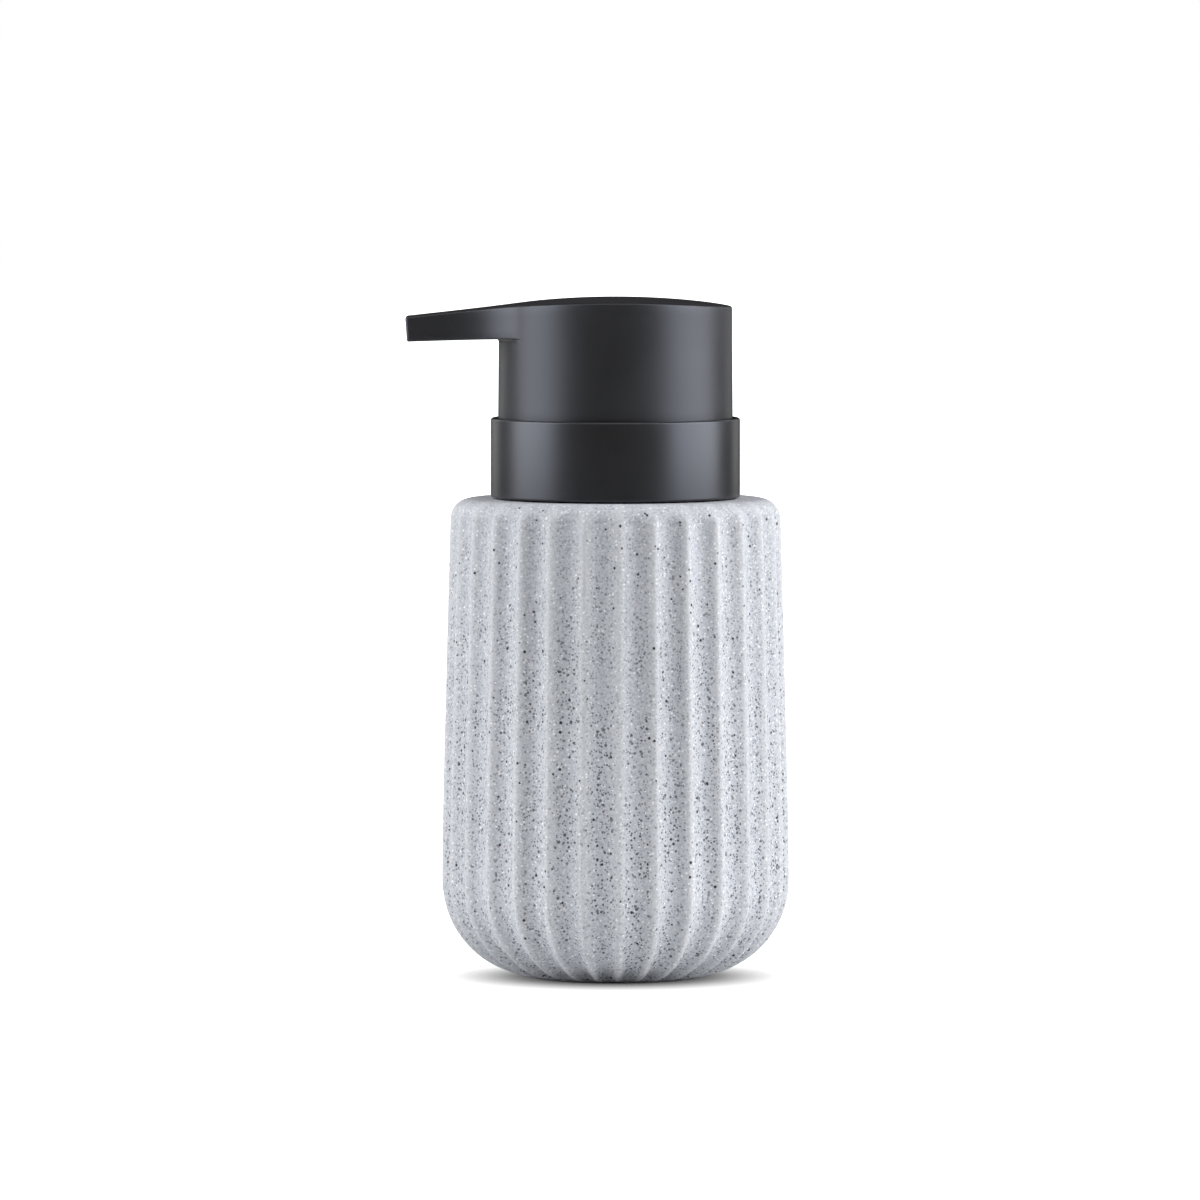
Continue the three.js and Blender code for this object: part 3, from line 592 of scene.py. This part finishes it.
def half_section(node, toward=(1, 0)):
    """The outline of a CAD node of revolution, as (radius, z), cut on the side that toward
    points to, walked with the material on its left."""
    bm = bmesh.new()
    bm.from_mesh(frame["nodes"][node].data)
    bmesh.ops.remove_doubles(bm, verts=bm.verts, dist=WELD)
    out = Vector((*toward, 0))
    side = Vector((-toward[1], toward[0], 0))
    geometry = bm.verts[:] + bm.edges[:] + bm.faces[:]
    cut = bmesh.ops.bisect_plane(bm, geom=geometry, dist=WELD, plane_co=(0, 0, 0), plane_no=side)
    links = {}
    for edge in (item for item in cut["geom_cut"] if isinstance(item, bmesh.types.BMEdge)):
        ends = [
            (round(max(v.co.dot(out), 0), 7), round(v.co.z, 7))
            for v in edge.verts
            if v.co.dot(out) > -WELD
        ]
        if len(ends) == 2 and ends[0] != ends[1] and not (ends[0][0] == 0 and ends[1][0] == 0):
            links.setdefault(ends[0], set()).add(ends[1])
            links.setdefault(ends[1], set()).add(ends[0])
    bm.free()
    start = min(links, key=lambda p: (len(links[p]), p[0], p[1]))
    path = [start]
    while True:
        options = [p for p in links[path[-1]] if p not in path]
        if not options:
            break
        path.append(min(options, key=lambda p: math.dist(p, path[-1])))
    path = without_straight_points(path)
    area = sum(a[0] * b[1] - b[0] * a[1] for a, b in zip(path, path[1:] + path[:1]))
    return path if area > 0 else path[::-1]


def without_straight_points(path):
    """The outline without the points in the middle of a straight stretch."""
    kept = []
    for i, point in enumerate(path):
        before = Vector(point) - Vector(path[i - 1])
        after = Vector(path[(i + 1) % len(path)]) - Vector(point)
        short = min(before.length, after.length) < ON_AXIS
        if short or before.angle(after) > STRAIGHT:
            kept.append(point)
    return kept


def cut_with(piece, cutter):
    """Takes the cutter's volume out of the piece for good."""
    modifier = piece.modifiers.new("cut", "BOOLEAN")
    modifier.object = cutter
    modifier.solver = "EXACT"
    bpy.context.view_layer.update()
    graph = bpy.context.evaluated_depsgraph_get()
    mesh = bpy.data.meshes.new_from_object(piece.evaluated_get(graph))
    piece.modifiers.remove(modifier)
    old = piece.data
    piece.data = mesh
    bpy.data.meshes.remove(old)
    bpy.data.objects.remove(cutter)


def placed_along(start, end):
    """The placing with its origin at start that turns +Z towards end."""
    turn = (Vector(end) - Vector(start)).to_track_quat("Z", "Y").to_matrix().to_4x4()
    return Matrix.Translation(start) @ turn


def rod_cutter(start, end, radius):
    """A plain round cutter from start to end."""
    length = (Vector(end) - Vector(start)).length
    bm = bmesh.new()
    bmesh.ops.create_cone(
        bm, cap_ends=True, segments=CUTTER_SIDES, radius1=radius, radius2=radius, depth=length
    )
    mesh = bpy.data.meshes.new("cutter")
    bm.to_mesh(mesh)
    bm.free()
    cutter = bpy.data.objects.new("cutter", mesh)
    bpy.context.scene.collection.objects.link(cutter)
    cutter.matrix_world = placed_along((Vector(start) + Vector(end)) / 2, end)
    return cutter


# ---- jar ------------------------------------------------------------------------------------

JAR_LOW, JAR_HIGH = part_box("vessel")
JAR_TOP = JAR_HIGH.z
FLUTES = 30
FLUTE_DEPTH = 1.45 * MM
FLUTE_TURN = math.radians(1.3) - math.pi / 2  # the first crest, a little right of the front
CREST_ROUNDING = 0.26  # 0 would be concave flutes that meet in sharp ridges
STEPS_PER_FLUTE = 16
CAD_JAR_R = max(math.hypot(v.co.x, v.co.y) for v in frame["nodes"]["vessel"].data.vertices)
JAR_R = CAD_JAR_R - 0.02 * MM  # round where the CAD model has facets, so a hair smaller
JAR_TOP_R = JAR_R - 1.9 * MM
JAR_CORNER_R = 21.4 * MM
JAR_SHOULDER_R = 4.7 * MM
JAR_BULGE = 13 * MM  # height over the corner where the side leaves the upright
JAR_FOOT = 0.3 * MM
JAR_SIDE_STEPS = 60
RIM_FADE = (1.0 * MM, 4.2 * MM)  # under the top, where the flutes run out
FOOT_FADE = (0.0, 0.8 * MM)  # over the foot
SEAT_DEPTH = 1.6 * MM
MOUTH_R = 17 * MM
MOUTH_DEPTH = 8.4 * MM
JAR_WALL = 5.6 * MM
JAR_FLOOR = 6.5 * MM
INNER_SHOULDER_R = 9 * MM
INNER_CORNER_R = 13 * MM
PAD_HOLE_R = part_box("base_pad")[1].x + GAP
PAD_HOLE_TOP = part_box("base_pad")[1].z + GAP


def arc(centre, radius, start, end, steps):
    """Points of an arc, angles in degrees, both ends included."""
    angles = [math.radians(lerp(start, end, i / steps)) for i in range(steps + 1)]
    return [(centre[0] + radius * math.cos(a), centre[1] + radius * math.sin(a)) for a in angles]


def jar_side():
    """The outside on a crest, from the pad's recess up to the flat top."""
    corner = (JAR_R - JAR_CORNER_R, JAR_FOOT + JAR_CORNER_R)
    first = math.degrees(math.asin((PAD_HOLE_R + 0.2 * MM - corner[0]) / JAR_CORNER_R)) - 90
    bottom = arc(corner, JAR_CORNER_R, first, 0, 34)
    shoulder_z = JAR_TOP - JAR_SHOULDER_R
    low = Vector((JAR_R, corner[1]))
    bend = Vector((JAR_R, corner[1] + JAR_BULGE))
    high = Vector((JAR_TOP_R, shoulder_z))
    shares = [i / JAR_SIDE_STEPS for i in range(1, JAR_SIDE_STEPS)]
    side = [tuple(on_curve(low, bend, high, t)) for t in shares]
    shoulder = arc((JAR_TOP_R - JAR_SHOULDER_R, shoulder_z), JAR_SHOULDER_R, 0, 90, 12)
    return bottom + side + shoulder


def flute_wave(angle):
    """0 on a crest and 1 in the middle of a hollow: wide scallops with narrow rounded ridges."""
    across = math.sin(FLUTES * (angle - FLUTE_TURN) / 2)
    full = math.hypot(1, CREST_ROUNDING) - CREST_ROUNDING
    return (math.hypot(across, CREST_ROUNDING) - CREST_ROUNDING) / full


def flute_depth(z):
    return FLUTE_DEPTH * smoothstep(JAR_TOP - z, *RIM_FADE) * smoothstep(z - JAR_FOOT, *FOOT_FADE)


def jar_inside():
    """From the neck's seat down the mouth and the hollow, to the floor's middle."""
    seat_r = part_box("neck_insert")[1].x + GAP
    seat_z = JAR_TOP - SEAT_DEPTH
    mouth_z = JAR_TOP - MOUTH_DEPTH
    wall_r = JAR_TOP_R - JAR_WALL
    edge_steps = 4
    top = (seat_r + 5 * MM, JAR_TOP)  # a point on the flat top, left out again below
    corners = [top, (seat_r, JAR_TOP), (seat_r, seat_z), (MOUTH_R, seat_z), (MOUTH_R, mouth_z)]
    mouth = rounded(corners, 0.4 * MM, edge_steps)[edge_steps + 1:-1]
    shoulder_centre = (wall_r - INNER_SHOULDER_R, mouth_z - INNER_SHOULDER_R)
    shoulder = arc(shoulder_centre, INNER_SHOULDER_R, 90, 0, 12)
    corner_centre = (wall_r - INNER_CORNER_R, JAR_FLOOR + INNER_CORNER_R)
    corner = arc(corner_centre, INNER_CORNER_R, 0, -90, 14)
    return mouth + shoulder + corner + [(0.0, JAR_FLOOR)]


def side_normals(side):
    normals = []
    for i, _ in enumerate(side):
        before = Vector(side[max(i - 1, 0)])
        after = Vector(side[min(i + 1, len(side) - 1)])
        along = (after - before).normalized()
        normals.append((along.y, -along.x))
    return normals


def make_jar():
    side = jar_side()
    foot_z = side[0][1]
    recess = [(0.0, PAD_HOLE_TOP), (PAD_HOLE_R, PAD_HOLE_TOP), (PAD_HOLE_R, foot_z + 0.2 * MM)]
    segments = FLUTES * STEPS_PER_FLUTE
    bm = bmesh.new()
    rings = [ring_of(bm, radius, z, segments) for radius, z in recess]
    for (radius, z), (out, up) in zip(side, side_normals(side)):
        depth = flute_depth(z)
        ring = []
        for i in range(segments):
            angle = 2 * math.pi * i / segments
            dent = depth * flute_wave(angle)
            r = radius - dent * out
            ring.append(bm.verts.new((r * math.cos(angle), r * math.sin(angle), z - dent * up)))
        rings.append(ring)
    rings += [ring_of(bm, radius, z, segments) for radius, z in jar_inside()]
    skin(bm, rings)
    finish_piece("jar", bm, "vessel")


# ---- press head --------------------------------------------------------------------------------

HEAD_LOW, HEAD_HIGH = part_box("head_shell")
HEAD_R = HEAD_HIGH.x  # at the skirt's lower edge
HEAD_TOP_R = HEAD_R - 0.15 * MM
HEAD_WALL = 1.6 * MM
HEAD_CREST = HEAD_HIGH.z
CREST_R = 230 * MM
SPOUT_SLOPE = 0.1075
SPOUT_TIP_X = HEAD_LOW.x
SPOUT_TIP_HALF = 5 * MM
SPOUT_ROOT_HALF = 6.0 * MM
SPOUT_ROOT_X = -38 * MM
SPOUT_ROOT_TURN = math.radians(36)
SPOUT_UNDER_TIP = 140.45 * MM
SPOUT_UNDER_ROOT = 141.2 * MM
SPOUT_CORNER_R = 0.7 * MM
TIP_LEAN = 0.4 * MM
TOP_EDGE_R = 0.45 * MM
UNDER_EDGE_R = 0.4 * MM
LEDGE_FILLET = 0.9 * MM
LEDGE_STEPS = 16
FILLET_SHARE, EDGE_SHARE = 0.35, 0.65  # of the ledge, where the fillet ends and the edge begins
CEILING_DEPTH = 3.6 * MM
INNER_FILLET = 1 * MM
SKIRT_EDGE_R = 0.35 * MM
SKIRT_STEPS = 78
FLARE_STEPS = 24
SPOUT_STEPS = 14
CORNER_STEPS = 6
TIP_STEPS = 5
EDGE_STEPS = 6


def top_z(x):
    """The head's top: an arc along X, going over into the spout's straight slope."""
    tangent = -CREST_R * math.sin(math.atan(SPOUT_SLOPE))
    on_arc = max(x, tangent)
    return HEAD_CREST - CREST_R + math.sqrt(CREST_R ** 2 - on_arc ** 2) + (x - on_arc) * SPOUT_SLOPE


def under_z(x):
    root = -(HEAD_TOP_R - HEAD_WALL)
    t = (x - root) / (SPOUT_TIP_X - root)
    return lerp(SPOUT_UNDER_ROOT, SPOUT_UNDER_TIP, min(max(t, 0), 1))


def on_skirt(angle):
    return Vector((HEAD_TOP_R * math.cos(angle), HEAD_TOP_R * math.sin(angle)))


def spout_side():
    """Half of the spout's plan, from where it leaves the skirt to the middle of its tip: a
    flare, the straight side, the rounded corner and half the tip."""
    start = math.pi - SPOUT_ROOT_TURN
    foot = on_skirt(start)
    tangent = Vector((-math.sin(start), math.cos(start)))
    slope = (SPOUT_ROOT_HALF - SPOUT_TIP_HALF) / (SPOUT_ROOT_X - SPOUT_TIP_X)
    # the flare's control point is where the side's line meets the skirt's tangent
    side_y = SPOUT_ROOT_HALF + slope * (foot.x - SPOUT_ROOT_X)
    bend = foot + tangent * (side_y - foot.y) / (tangent.y - slope * tangent.x)
    root = Vector((SPOUT_ROOT_X, SPOUT_ROOT_HALF))
    corner = Vector((SPOUT_TIP_X, SPOUT_TIP_HALF))
    back = corner + (root - corner).normalized() * SPOUT_CORNER_R
    down = corner - Vector((0, SPOUT_CORNER_R))
    tip = Vector((SPOUT_TIP_X, 0))
    points = [on_curve(foot, bend, root, i / FLARE_STEPS) for i in range(1, FLARE_STEPS + 1)]
    points += [root.lerp(back, i / SPOUT_STEPS) for i in range(1, SPOUT_STEPS + 1)]
    points += [on_curve(back, corner, down, i / CORNER_STEPS) for i in range(1, CORNER_STEPS + 1)]
    points += [down.lerp(tip, i / TIP_STEPS) for i in range(1, TIP_STEPS + 1)]
    return points


def head_outline():
    """Two matched half outlines (y >= 0) from the back round to the spout's tip: the round
    skirt, and the plan of the top, which has the spout."""
    round_part = math.pi - SPOUT_ROOT_TURN
    skirt = [on_skirt(round_part * i / SKIRT_STEPS) for i in range(SKIRT_STEPS + 1)]
    plan = [point.copy() for point in skirt]
    spout = spout_side()
    for i, point in enumerate(spout, 1):
        skirt.append(on_skirt(math.pi - SPOUT_ROOT_TURN * (1 - i / len(spout))))
        plan.append(point)
    plan[-1].y = 0
    skirt[-1].y = 0
    return skirt, plan


def mirrored(half):
    """A whole loop from a half outline whose first and last point lie on y = 0."""
    return half + [Vector((p.x, -p.y)) for p in half[-2:0:-1]]


def outward_normals(loop):
    count = len(loop)
    normals = []
    for i in range(count):
        along = (loop[(i + 1) % count] - loop[i - 1]).normalized()
        normals.append(Vector((along.y, -along.x)))
    return normals


def ledge_point(skirt, plan, normal, v):
    """Where the skirt turns out under the spout and up round the underside's edge: fillet,
    flat underside, rounded edge, for v from 0 to 1. Where there is no spout it is plain wall,
    and the one goes over into the other where the spout begins."""
    out = plan - skirt
    width = out.length
    low = under_z(plan.x) - LEDGE_FILLET
    high = under_z(plan.x) + UNDER_EDGE_R
    wall = (skirt.lerp(plan, v), lerp(low, high, v))
    share = smoothstep(width, 0, LEDGE_FILLET + UNDER_EDGE_R + 1.2 * MM)
    if share == 0:
        return wall
    step = out.normalized()
    fillet = min(LEDGE_FILLET, 0.4 * width)
    edge = min(UNDER_EDGE_R, 0.4 * width)
    if v < FILLET_SHARE:
        turn = v / FILLET_SHARE * math.pi / 2
        flat = skirt + step * fillet * (1 - math.cos(turn))
        z = under_z(flat.x) - fillet * (1 - math.sin(turn))
        z = lerp(low, z, smoothstep(v, 0, 0.05)) if fillet < LEDGE_FILLET else z
    elif v < EDGE_SHARE:
        t = (v - FILLET_SHARE) / (EDGE_SHARE - FILLET_SHARE)
        flat = (skirt + step * fillet).lerp(plan - normal * edge, t)
        z = under_z(flat.x)
    else:
        turn = (v - EDGE_SHARE) / (1 - EDGE_SHARE) * math.pi / 2
        flat = plan - normal * edge * (1 - math.sin(turn))
        z = under_z(plan.x) + edge * (1 - math.cos(turn))
    return wall[0].lerp(flat, share), lerp(wall[1], z, share)


def leaning(point, z):
    """The tip's face leans in towards the underside."""
    height = (top_z(point.x) - z) / (top_z(point.x) - under_z(point.x))
    weight = smoothstep(-point.x, -SPOUT_TIP_X - 3 * MM, -SPOUT_TIP_X)
    return point.x + TIP_LEAN * height * weight


def add_head_inside(bm, rings, skirt):
    """The hollow from the ceiling's middle down to the skirt's lower edge and round it."""
    inner_r = HEAD_TOP_R - HEAD_WALL
    bottom = HEAD_LOW.z
    ceiling = HEAD_CREST - CEILING_DEPTH
    section = [(inner_r * share, ceiling) for share in (0.3, 0.6, 0.85)]
    section += arc((inner_r - INNER_FILLET, ceiling - INNER_FILLET), INNER_FILLET, 90, 0, 5)
    section.append((inner_r, lerp(bottom, ceiling, 0.5)))
    section += arc((inner_r + SKIRT_EDGE_R, bottom + SKIRT_EDGE_R), SKIRT_EDGE_R, 180, 270, 4)
    section += arc((HEAD_R - SKIRT_EDGE_R, bottom + SKIRT_EDGE_R), SKIRT_EDGE_R, 270, 360, 4)
    rings.append([bm.verts.new((0, 0, ceiling))])
    for radius, z in section:
        grow = radius / HEAD_TOP_R
        rings.append([bm.verts.new((p.x * grow, p.y * grow, z)) for p in skirt])


def add_skirt_wall(bm, rings, skirt, plan):
    """The outside, a little conical, up to the spout's underside."""
    bottom = HEAD_LOW.z + SKIRT_EDGE_R
    for share in (0.2, 0.4, 0.6, 0.8):
        grow = lerp(HEAD_R, HEAD_TOP_R, share) / HEAD_TOP_R
        ring = []
        for p, q in zip(skirt, plan):
            z = lerp(bottom, under_z(q.x) - LEDGE_FILLET, share)
            ring.append(bm.verts.new((p.x * grow, p.y * grow, z)))
        rings.append(ring)


def add_spout_wall(bm, rings, skirt, plan, normals):
    """The ledge under the spout, the upright side and the rounded top edge."""
    for i in range(LEDGE_STEPS + 1):
        ring = []
        for p, q, normal in zip(skirt, plan, normals):
            point, z = ledge_point(p, q, normal, i / LEDGE_STEPS)
            ring.append(bm.verts.new((leaning(point, z), point.y, z)))
        rings.append(ring)
    for share in (0.25, 0.5, 0.75):
        ring = []
        for q in plan:
            z = lerp(under_z(q.x) + UNDER_EDGE_R, top_z(q.x) - TOP_EDGE_R, share)
            ring.append(bm.verts.new((leaning(q, z), q.y, z)))
        rings.append(ring)
    for i in range(EDGE_STEPS + 1):
        turn = i / EDGE_STEPS * math.pi / 2
        ring = []
        for q, normal in zip(plan, normals):
            point = q - normal * TOP_EDGE_R * (1 - math.cos(turn))
            z = top_z(point.x) - TOP_EDGE_R * (1 - math.sin(turn))
            ring.append(bm.verts.new((leaning(point, z), point.y, z)))
        rings.append(ring)


def add_top(bm, ring, half_count):
    """Closes the top with straight strips from each point to its mirror image. The last strip
    ends on the points of the tip's face."""
    across = 2 * TIP_STEPS
    count = len(ring)
    rows = [[ring[0]] * (across + 1)]
    for i in range(1, half_count - TIP_STEPS - 1):
        near, far = ring[i], ring[count - i]
        middle = [bm.verts.new(near.co.lerp(far.co, k / across)) for k in range(1, across)]
        rows.append([near, *middle, far])
    tip = half_count - 1
    rows.append(ring[tip - TIP_STEPS:tip + TIP_STEPS + 1])
    for low, high in zip(rows, rows[1:]):
        for k in range(across):
            add_face(bm, [low[k], low[k + 1], high[k + 1], high[k]])


def duct_across():
    """Height and bore of the passage to the spout, which the spout's liner lies in."""
    low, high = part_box("spout_tube")
    return (low.z + high.z) / 2, (high.z - low.z) / 2 + GAP


def make_head():
    half_skirt, half_plan = head_outline()
    skirt, plan = mirrored(half_skirt), mirrored(half_plan)
    bm = bmesh.new()
    rings = []
    add_head_inside(bm, rings, skirt)
    add_skirt_wall(bm, rings, skirt, plan)
    add_spout_wall(bm, rings, skirt, plan, outward_normals(plan))
    skin(bm, rings)
    add_top(bm, rings[-1], len(half_plan))
    head = finish_piece("press_head", bm, "head_shell")
    low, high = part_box("nozzle_insert")
    outlet_x = (low.x + high.x) / 2
    outlet_r = (high.x - low.x) / 2 + GAP
    duct_z, duct_r = duct_across()
    hub_inside_x = -15 * MM
    cut_with(head, rod_cutter((hub_inside_x, 0, duct_z), (outlet_x - outlet_r, 0, duct_z), duct_r))
    below_spout = SPOUT_UNDER_TIP - 1 * MM
    cut_with(head, rod_cutter((outlet_x, 0, below_spout), (outlet_x, 0, duct_z), outlet_r))


# ---- smooth copies of the turned pieces ------------------------------------------------------

TURNED = {  # name, points round, and the radius of its edges in mm
    "base_pad": ("anti_slip_pad", 160, 0.35),
    "neck_gasket": ("gasket_ring", 128, 0.25),
    "chaplet": ("stem_guide", 96, 0.25),
    "stem_wiper": ("wiper_ring", 96, 0.4),
    "valve_retainer": ("retainer_disc", 96, 0.3),
    "dip_tube": ("suction_tube", 64, 0.2),
    "piston_rod": ("plunger_rod", 96, 0.25),
    "piston": ("piston_seal", 96, 0.25),
    "stem": ("hollow_stem", 96, 0.25),
}
COLLAR_SEGMENTS = 192
COLLAR_EDGE_R = 0.55 * MM
LONGEST_CHAMFER = 0.7 * MM


def make_turned():
    for node, (name, segments, radius) in TURNED.items():
        outline = rounded(half_section(node), radius * MM)
        finish_piece(name, spun(outline, segments), node)


def make_collar():
    outline = rounded(square_corners(half_section("collar_shell")), COLLAR_EDGE_R, steps=6)
    finish_piece("collar", spun(outline, COLLAR_SEGMENTS), "collar_shell")


def square_corners(outline):
    """The outline with its small chamfers turned back into corners."""
    result = []
    count = len(outline)
    skip = False
    for i, point in enumerate(outline):
        if skip:
            skip = False
            continue
        after = outline[(i + 1) % count]
        slanted = min(abs(point[0] - after[0]), abs(point[1] - after[1])) > WELD
        if slanted and math.dist(point, after) < LONGEST_CHAMFER:
            before = outline[i - 1]
            upright = abs(before[0] - point[0]) < WELD
            result.append((point[0], after[1]) if upright else (after[0], point[1]))
            skip = True
        else:
            result.append(point)
    return result


# ---- screw threads -----------------------------------------------------------------------------

PITCH = BEHAVIOUR["couplings"][0]["ratio"] * 2 * math.pi
THREAD_HEIGHT = 1.15 * MM
NECK_R = 12.5 * MM
CAP_BORE_R = 14.2 * MM
NECK_THREAD_BOTTOM = JAR_TOP + 3.2 * MM
NECK_THREAD_TURNS = 1.5
CAP_THREAD_BOTTOM = NECK_THREAD_BOTTOM - 1.7 * MM
CAP_THREAD_TURNS = 1.25
CAP_THREAD_START = 0.25
THREAD_STEPS = 72  # in a turn
THREAD_SUNK = 0.25 * MM  # how deep its root is in the wall
THREAD_RUN_IN = (-0.03, 0.12)  # of a turn, at each end, where it grows out of the wall
THREAD_HALF = ((0, -0.95), (0.55, -0.68), (0.9, -0.5), (1, -0.3))  # (share of height, z in mm)
THREAD_EDGE_R = 0.3 * MM
HAIR = 0.01 * MM


def add_thread(bm, root_r, height, bottom, turns, start=0.0):
    """A rounded screw ridge on a wall. A negative height is a thread inside a bore."""
    sunk_r = root_r - math.copysign(THREAD_SUNK, height)
    upper = [(out, -z) for out, z in reversed(THREAD_HALF)]
    foot_z = THREAD_HALF[0][1] * MM
    steps = round(turns * THREAD_STEPS)
    rings = []
    for i in range(steps + 1):
        along = turns * i / steps
        rise = height * smoothstep(min(along, turns - along), *THREAD_RUN_IN)
        section = [(root_r + out * rise, z * MM) for out, z in (*THREAD_HALF, *upper)]
        turn = 2 * math.pi * (start + along)
        middle = bottom + PITCH * (start + along)
        ring = []
        for radius, z in [(sunk_r, foot_z), *section, (sunk_r, -foot_z)]:
            place = (radius * math.cos(turn), radius * math.sin(turn), middle + z)
            ring.append(bm.verts.new(place))
        rings.append(ring)
    skin(bm, rings)
    bm.faces.new(rings[0])
    bm.faces.new(rings[-1])


def without_thread(outline, radii, heights):
    """The outline without the points of the thread's section, which lie between the radii and
    between the heights."""
    kept = [
        (r, z)
        for r, z in outline
        if not (radii[0] < r < radii[1] and heights[0] < z < heights[1])
    ]
    return without_straight_points(kept)


def make_neck():
    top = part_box("neck_insert")[1].z
    radii = (NECK_R + HAIR, NECK_R + 2 * THREAD_HEIGHT)
    outline = without_thread(half_section("neck_insert"), radii, (JAR_TOP + HAIR, top - HAIR))
    bm = spun(rounded(outline, THREAD_EDGE_R), 160)
    add_thread(bm, NECK_R, THREAD_HEIGHT, NECK_THREAD_BOTTOM, NECK_THREAD_TURNS)
    finish_piece("threaded_neck", bm, "neck_insert")


def make_cap():
    low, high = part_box("screw_cap")
    radii = (CAP_BORE_R - 2 * THREAD_HEIGHT, CAP_BORE_R - HAIR)
    heights = (low.z + HAIR, high.z - 2 * MM)
    outline = without_thread(half_section("screw_cap"), radii, heights)
    bm = spun(rounded(outline, THREAD_EDGE_R), 160)
    add_thread(
        bm, CAP_BORE_R, -THREAD_HEIGHT, CAP_THREAD_BOTTOM, CAP_THREAD_TURNS, CAP_THREAD_START
    )
    finish_piece("inner_screw_cap", bm, "screw_cap")


# ---- pump parts that aren't plain turnings ----------------------------------------------------

SPRING_WIRE_R = 0.45 * MM
SPRING_TURNS = 8
CLOSED_TURNS = 0.9  # at each end, where the coils lie on each other
CLOSED_PITCH = 2.1 * SPRING_WIRE_R
SPRING_STEPS = 48  # in a turn
WIRE_SIDES = 12
PUMP_EDGE_R = 0.25 * MM
VENT_DEPTH = 4.2 * MM  # under the flange's top
VENT_R = 0.8 * MM
TUBE_EDGE_R = 0.15 * MM
LINER_BORE_R = 1.0 * MM
NOZZLE_BORE_R = 1.3 * MM


def make_spring():
    """A compression spring with closed ends, on a mesh of its own. In the pump it shortens as the head
    goes down.
    """
    low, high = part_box("return_spring")
    radius = high.x - SPRING_WIRE_R
    bottom, top = low.z + SPRING_WIRE_R, high.z - SPRING_WIRE_R
    steps = SPRING_TURNS * SPRING_STEPS
    closed_rise = CLOSED_PITCH * CLOSED_TURNS
    bm = bmesh.new()
    rings = []
    for i in range(steps + 1):
        turns = i / SPRING_STEPS
        if turns < CLOSED_TURNS:
            z = bottom + closed_rise * turns / CLOSED_TURNS
        elif turns > SPRING_TURNS - CLOSED_TURNS:
            z = top - closed_rise * (SPRING_TURNS - turns) / CLOSED_TURNS
        else:
            share = (turns - CLOSED_TURNS) / (SPRING_TURNS - 2 * CLOSED_TURNS)
            z = lerp(bottom + closed_rise, top - closed_rise, share)
        turn = 2 * math.pi * turns
        out = Vector((math.cos(turn), math.sin(turn), 0))
        ring = []
        for k in range(WIRE_SIDES):
            side = 2 * math.pi * k / WIRE_SIDES
            across = radius + SPRING_WIRE_R * math.cos(side)
            up = z + SPRING_WIRE_R * math.sin(side)
            ring.append(bm.verts.new((out.x * across, out.y * across, up)))
        rings.append(ring)
    skin(bm, rings)
    bm.faces.new(rings[0])
    bm.faces.new(rings[-1])
    spring = finish_piece("pump_spring", bm, "return_spring")
    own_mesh(spring)


def make_ball():
    low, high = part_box("inlet_ball")
    bm = bmesh.new()
    bmesh.ops.create_icosphere(bm, subdivisions=5, radius=(high.z - low.z) / 2)
    bmesh.ops.translate(bm, verts=bm.verts, vec=(low + high) / 2)
    finish_piece("valve_ball", bm, "inlet_ball")


def make_housing():
    """The pump's cylinder. Its vent hole is drilled on the side away from the spout."""
    outline = rounded(half_section("pump_housing", toward=(0, 1)), PUMP_EDGE_R)
    housing = finish_piece("pump_cylinder", spun(outline, 128), "pump_housing")
    vent_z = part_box("pump_housing")[1].z - VENT_DEPTH
    cut_with(housing, rod_cutter((6 * MM, 0, vent_z), (10 * MM, 0, vent_z), VENT_R))


def make_core():
    """The plate and hub in the head. Its section has the passage up from the stem, and the
    passage out to the spout is cut across that."""
    outline = rounded(half_section("actuator_core"), PUMP_EDGE_R)
    core = finish_piece("head_core", spun(outline, 160), "actuator_core")
    duct_z, duct_r = duct_across()
    outside_hub_x, past_middle_x = -8 * MM, 0.2 * MM
    cut_with(core, rod_cutter((outside_hub_x, 0, duct_z), (past_middle_x, 0, duct_z), duct_r))


def tube_along(name, node, start, end, outer, inner):
    """A plain tube between two points, with its ends a little rounded."""
    length = (Vector(end) - Vector(start)).length
    section = [(inner, 0.0), (outer, 0.0), (outer, length), (inner, length)]
    bm = spun(rounded(section, TUBE_EDGE_R), 64)
    bmesh.ops.transform(bm, matrix=placed_along(start, end), verts=bm.verts)
    finish_piece(name, bm, node)


def make_outlet():
    low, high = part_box("spout_tube")
    z = (low.z + high.z) / 2
    outer = (high.z - low.z) / 2
    tube_along("spout_liner", "spout_tube", (high.x, 0, z), (low.x, 0, z), outer, LINER_BORE_R)
    low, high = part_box("nozzle_insert")
    x = (low.x + high.x) / 2
    outer = (high.x - low.x) / 2
    tube_along("nozzle_ring", "nozzle_insert", (x, 0, low.z), (x, 0, high.z), outer, NOZZLE_BORE_R)


MATERIALS = make_materials()
make_camera()
make_lights()
make_world()
make_floor()
make_jar()
make_head()
make_turned()
make_collar()
make_neck()
make_cap()
make_spring()
make_ball()
make_housing()
make_core()
make_outlet()
bpy.context.scene.view_settings.view_transform = "Standard"
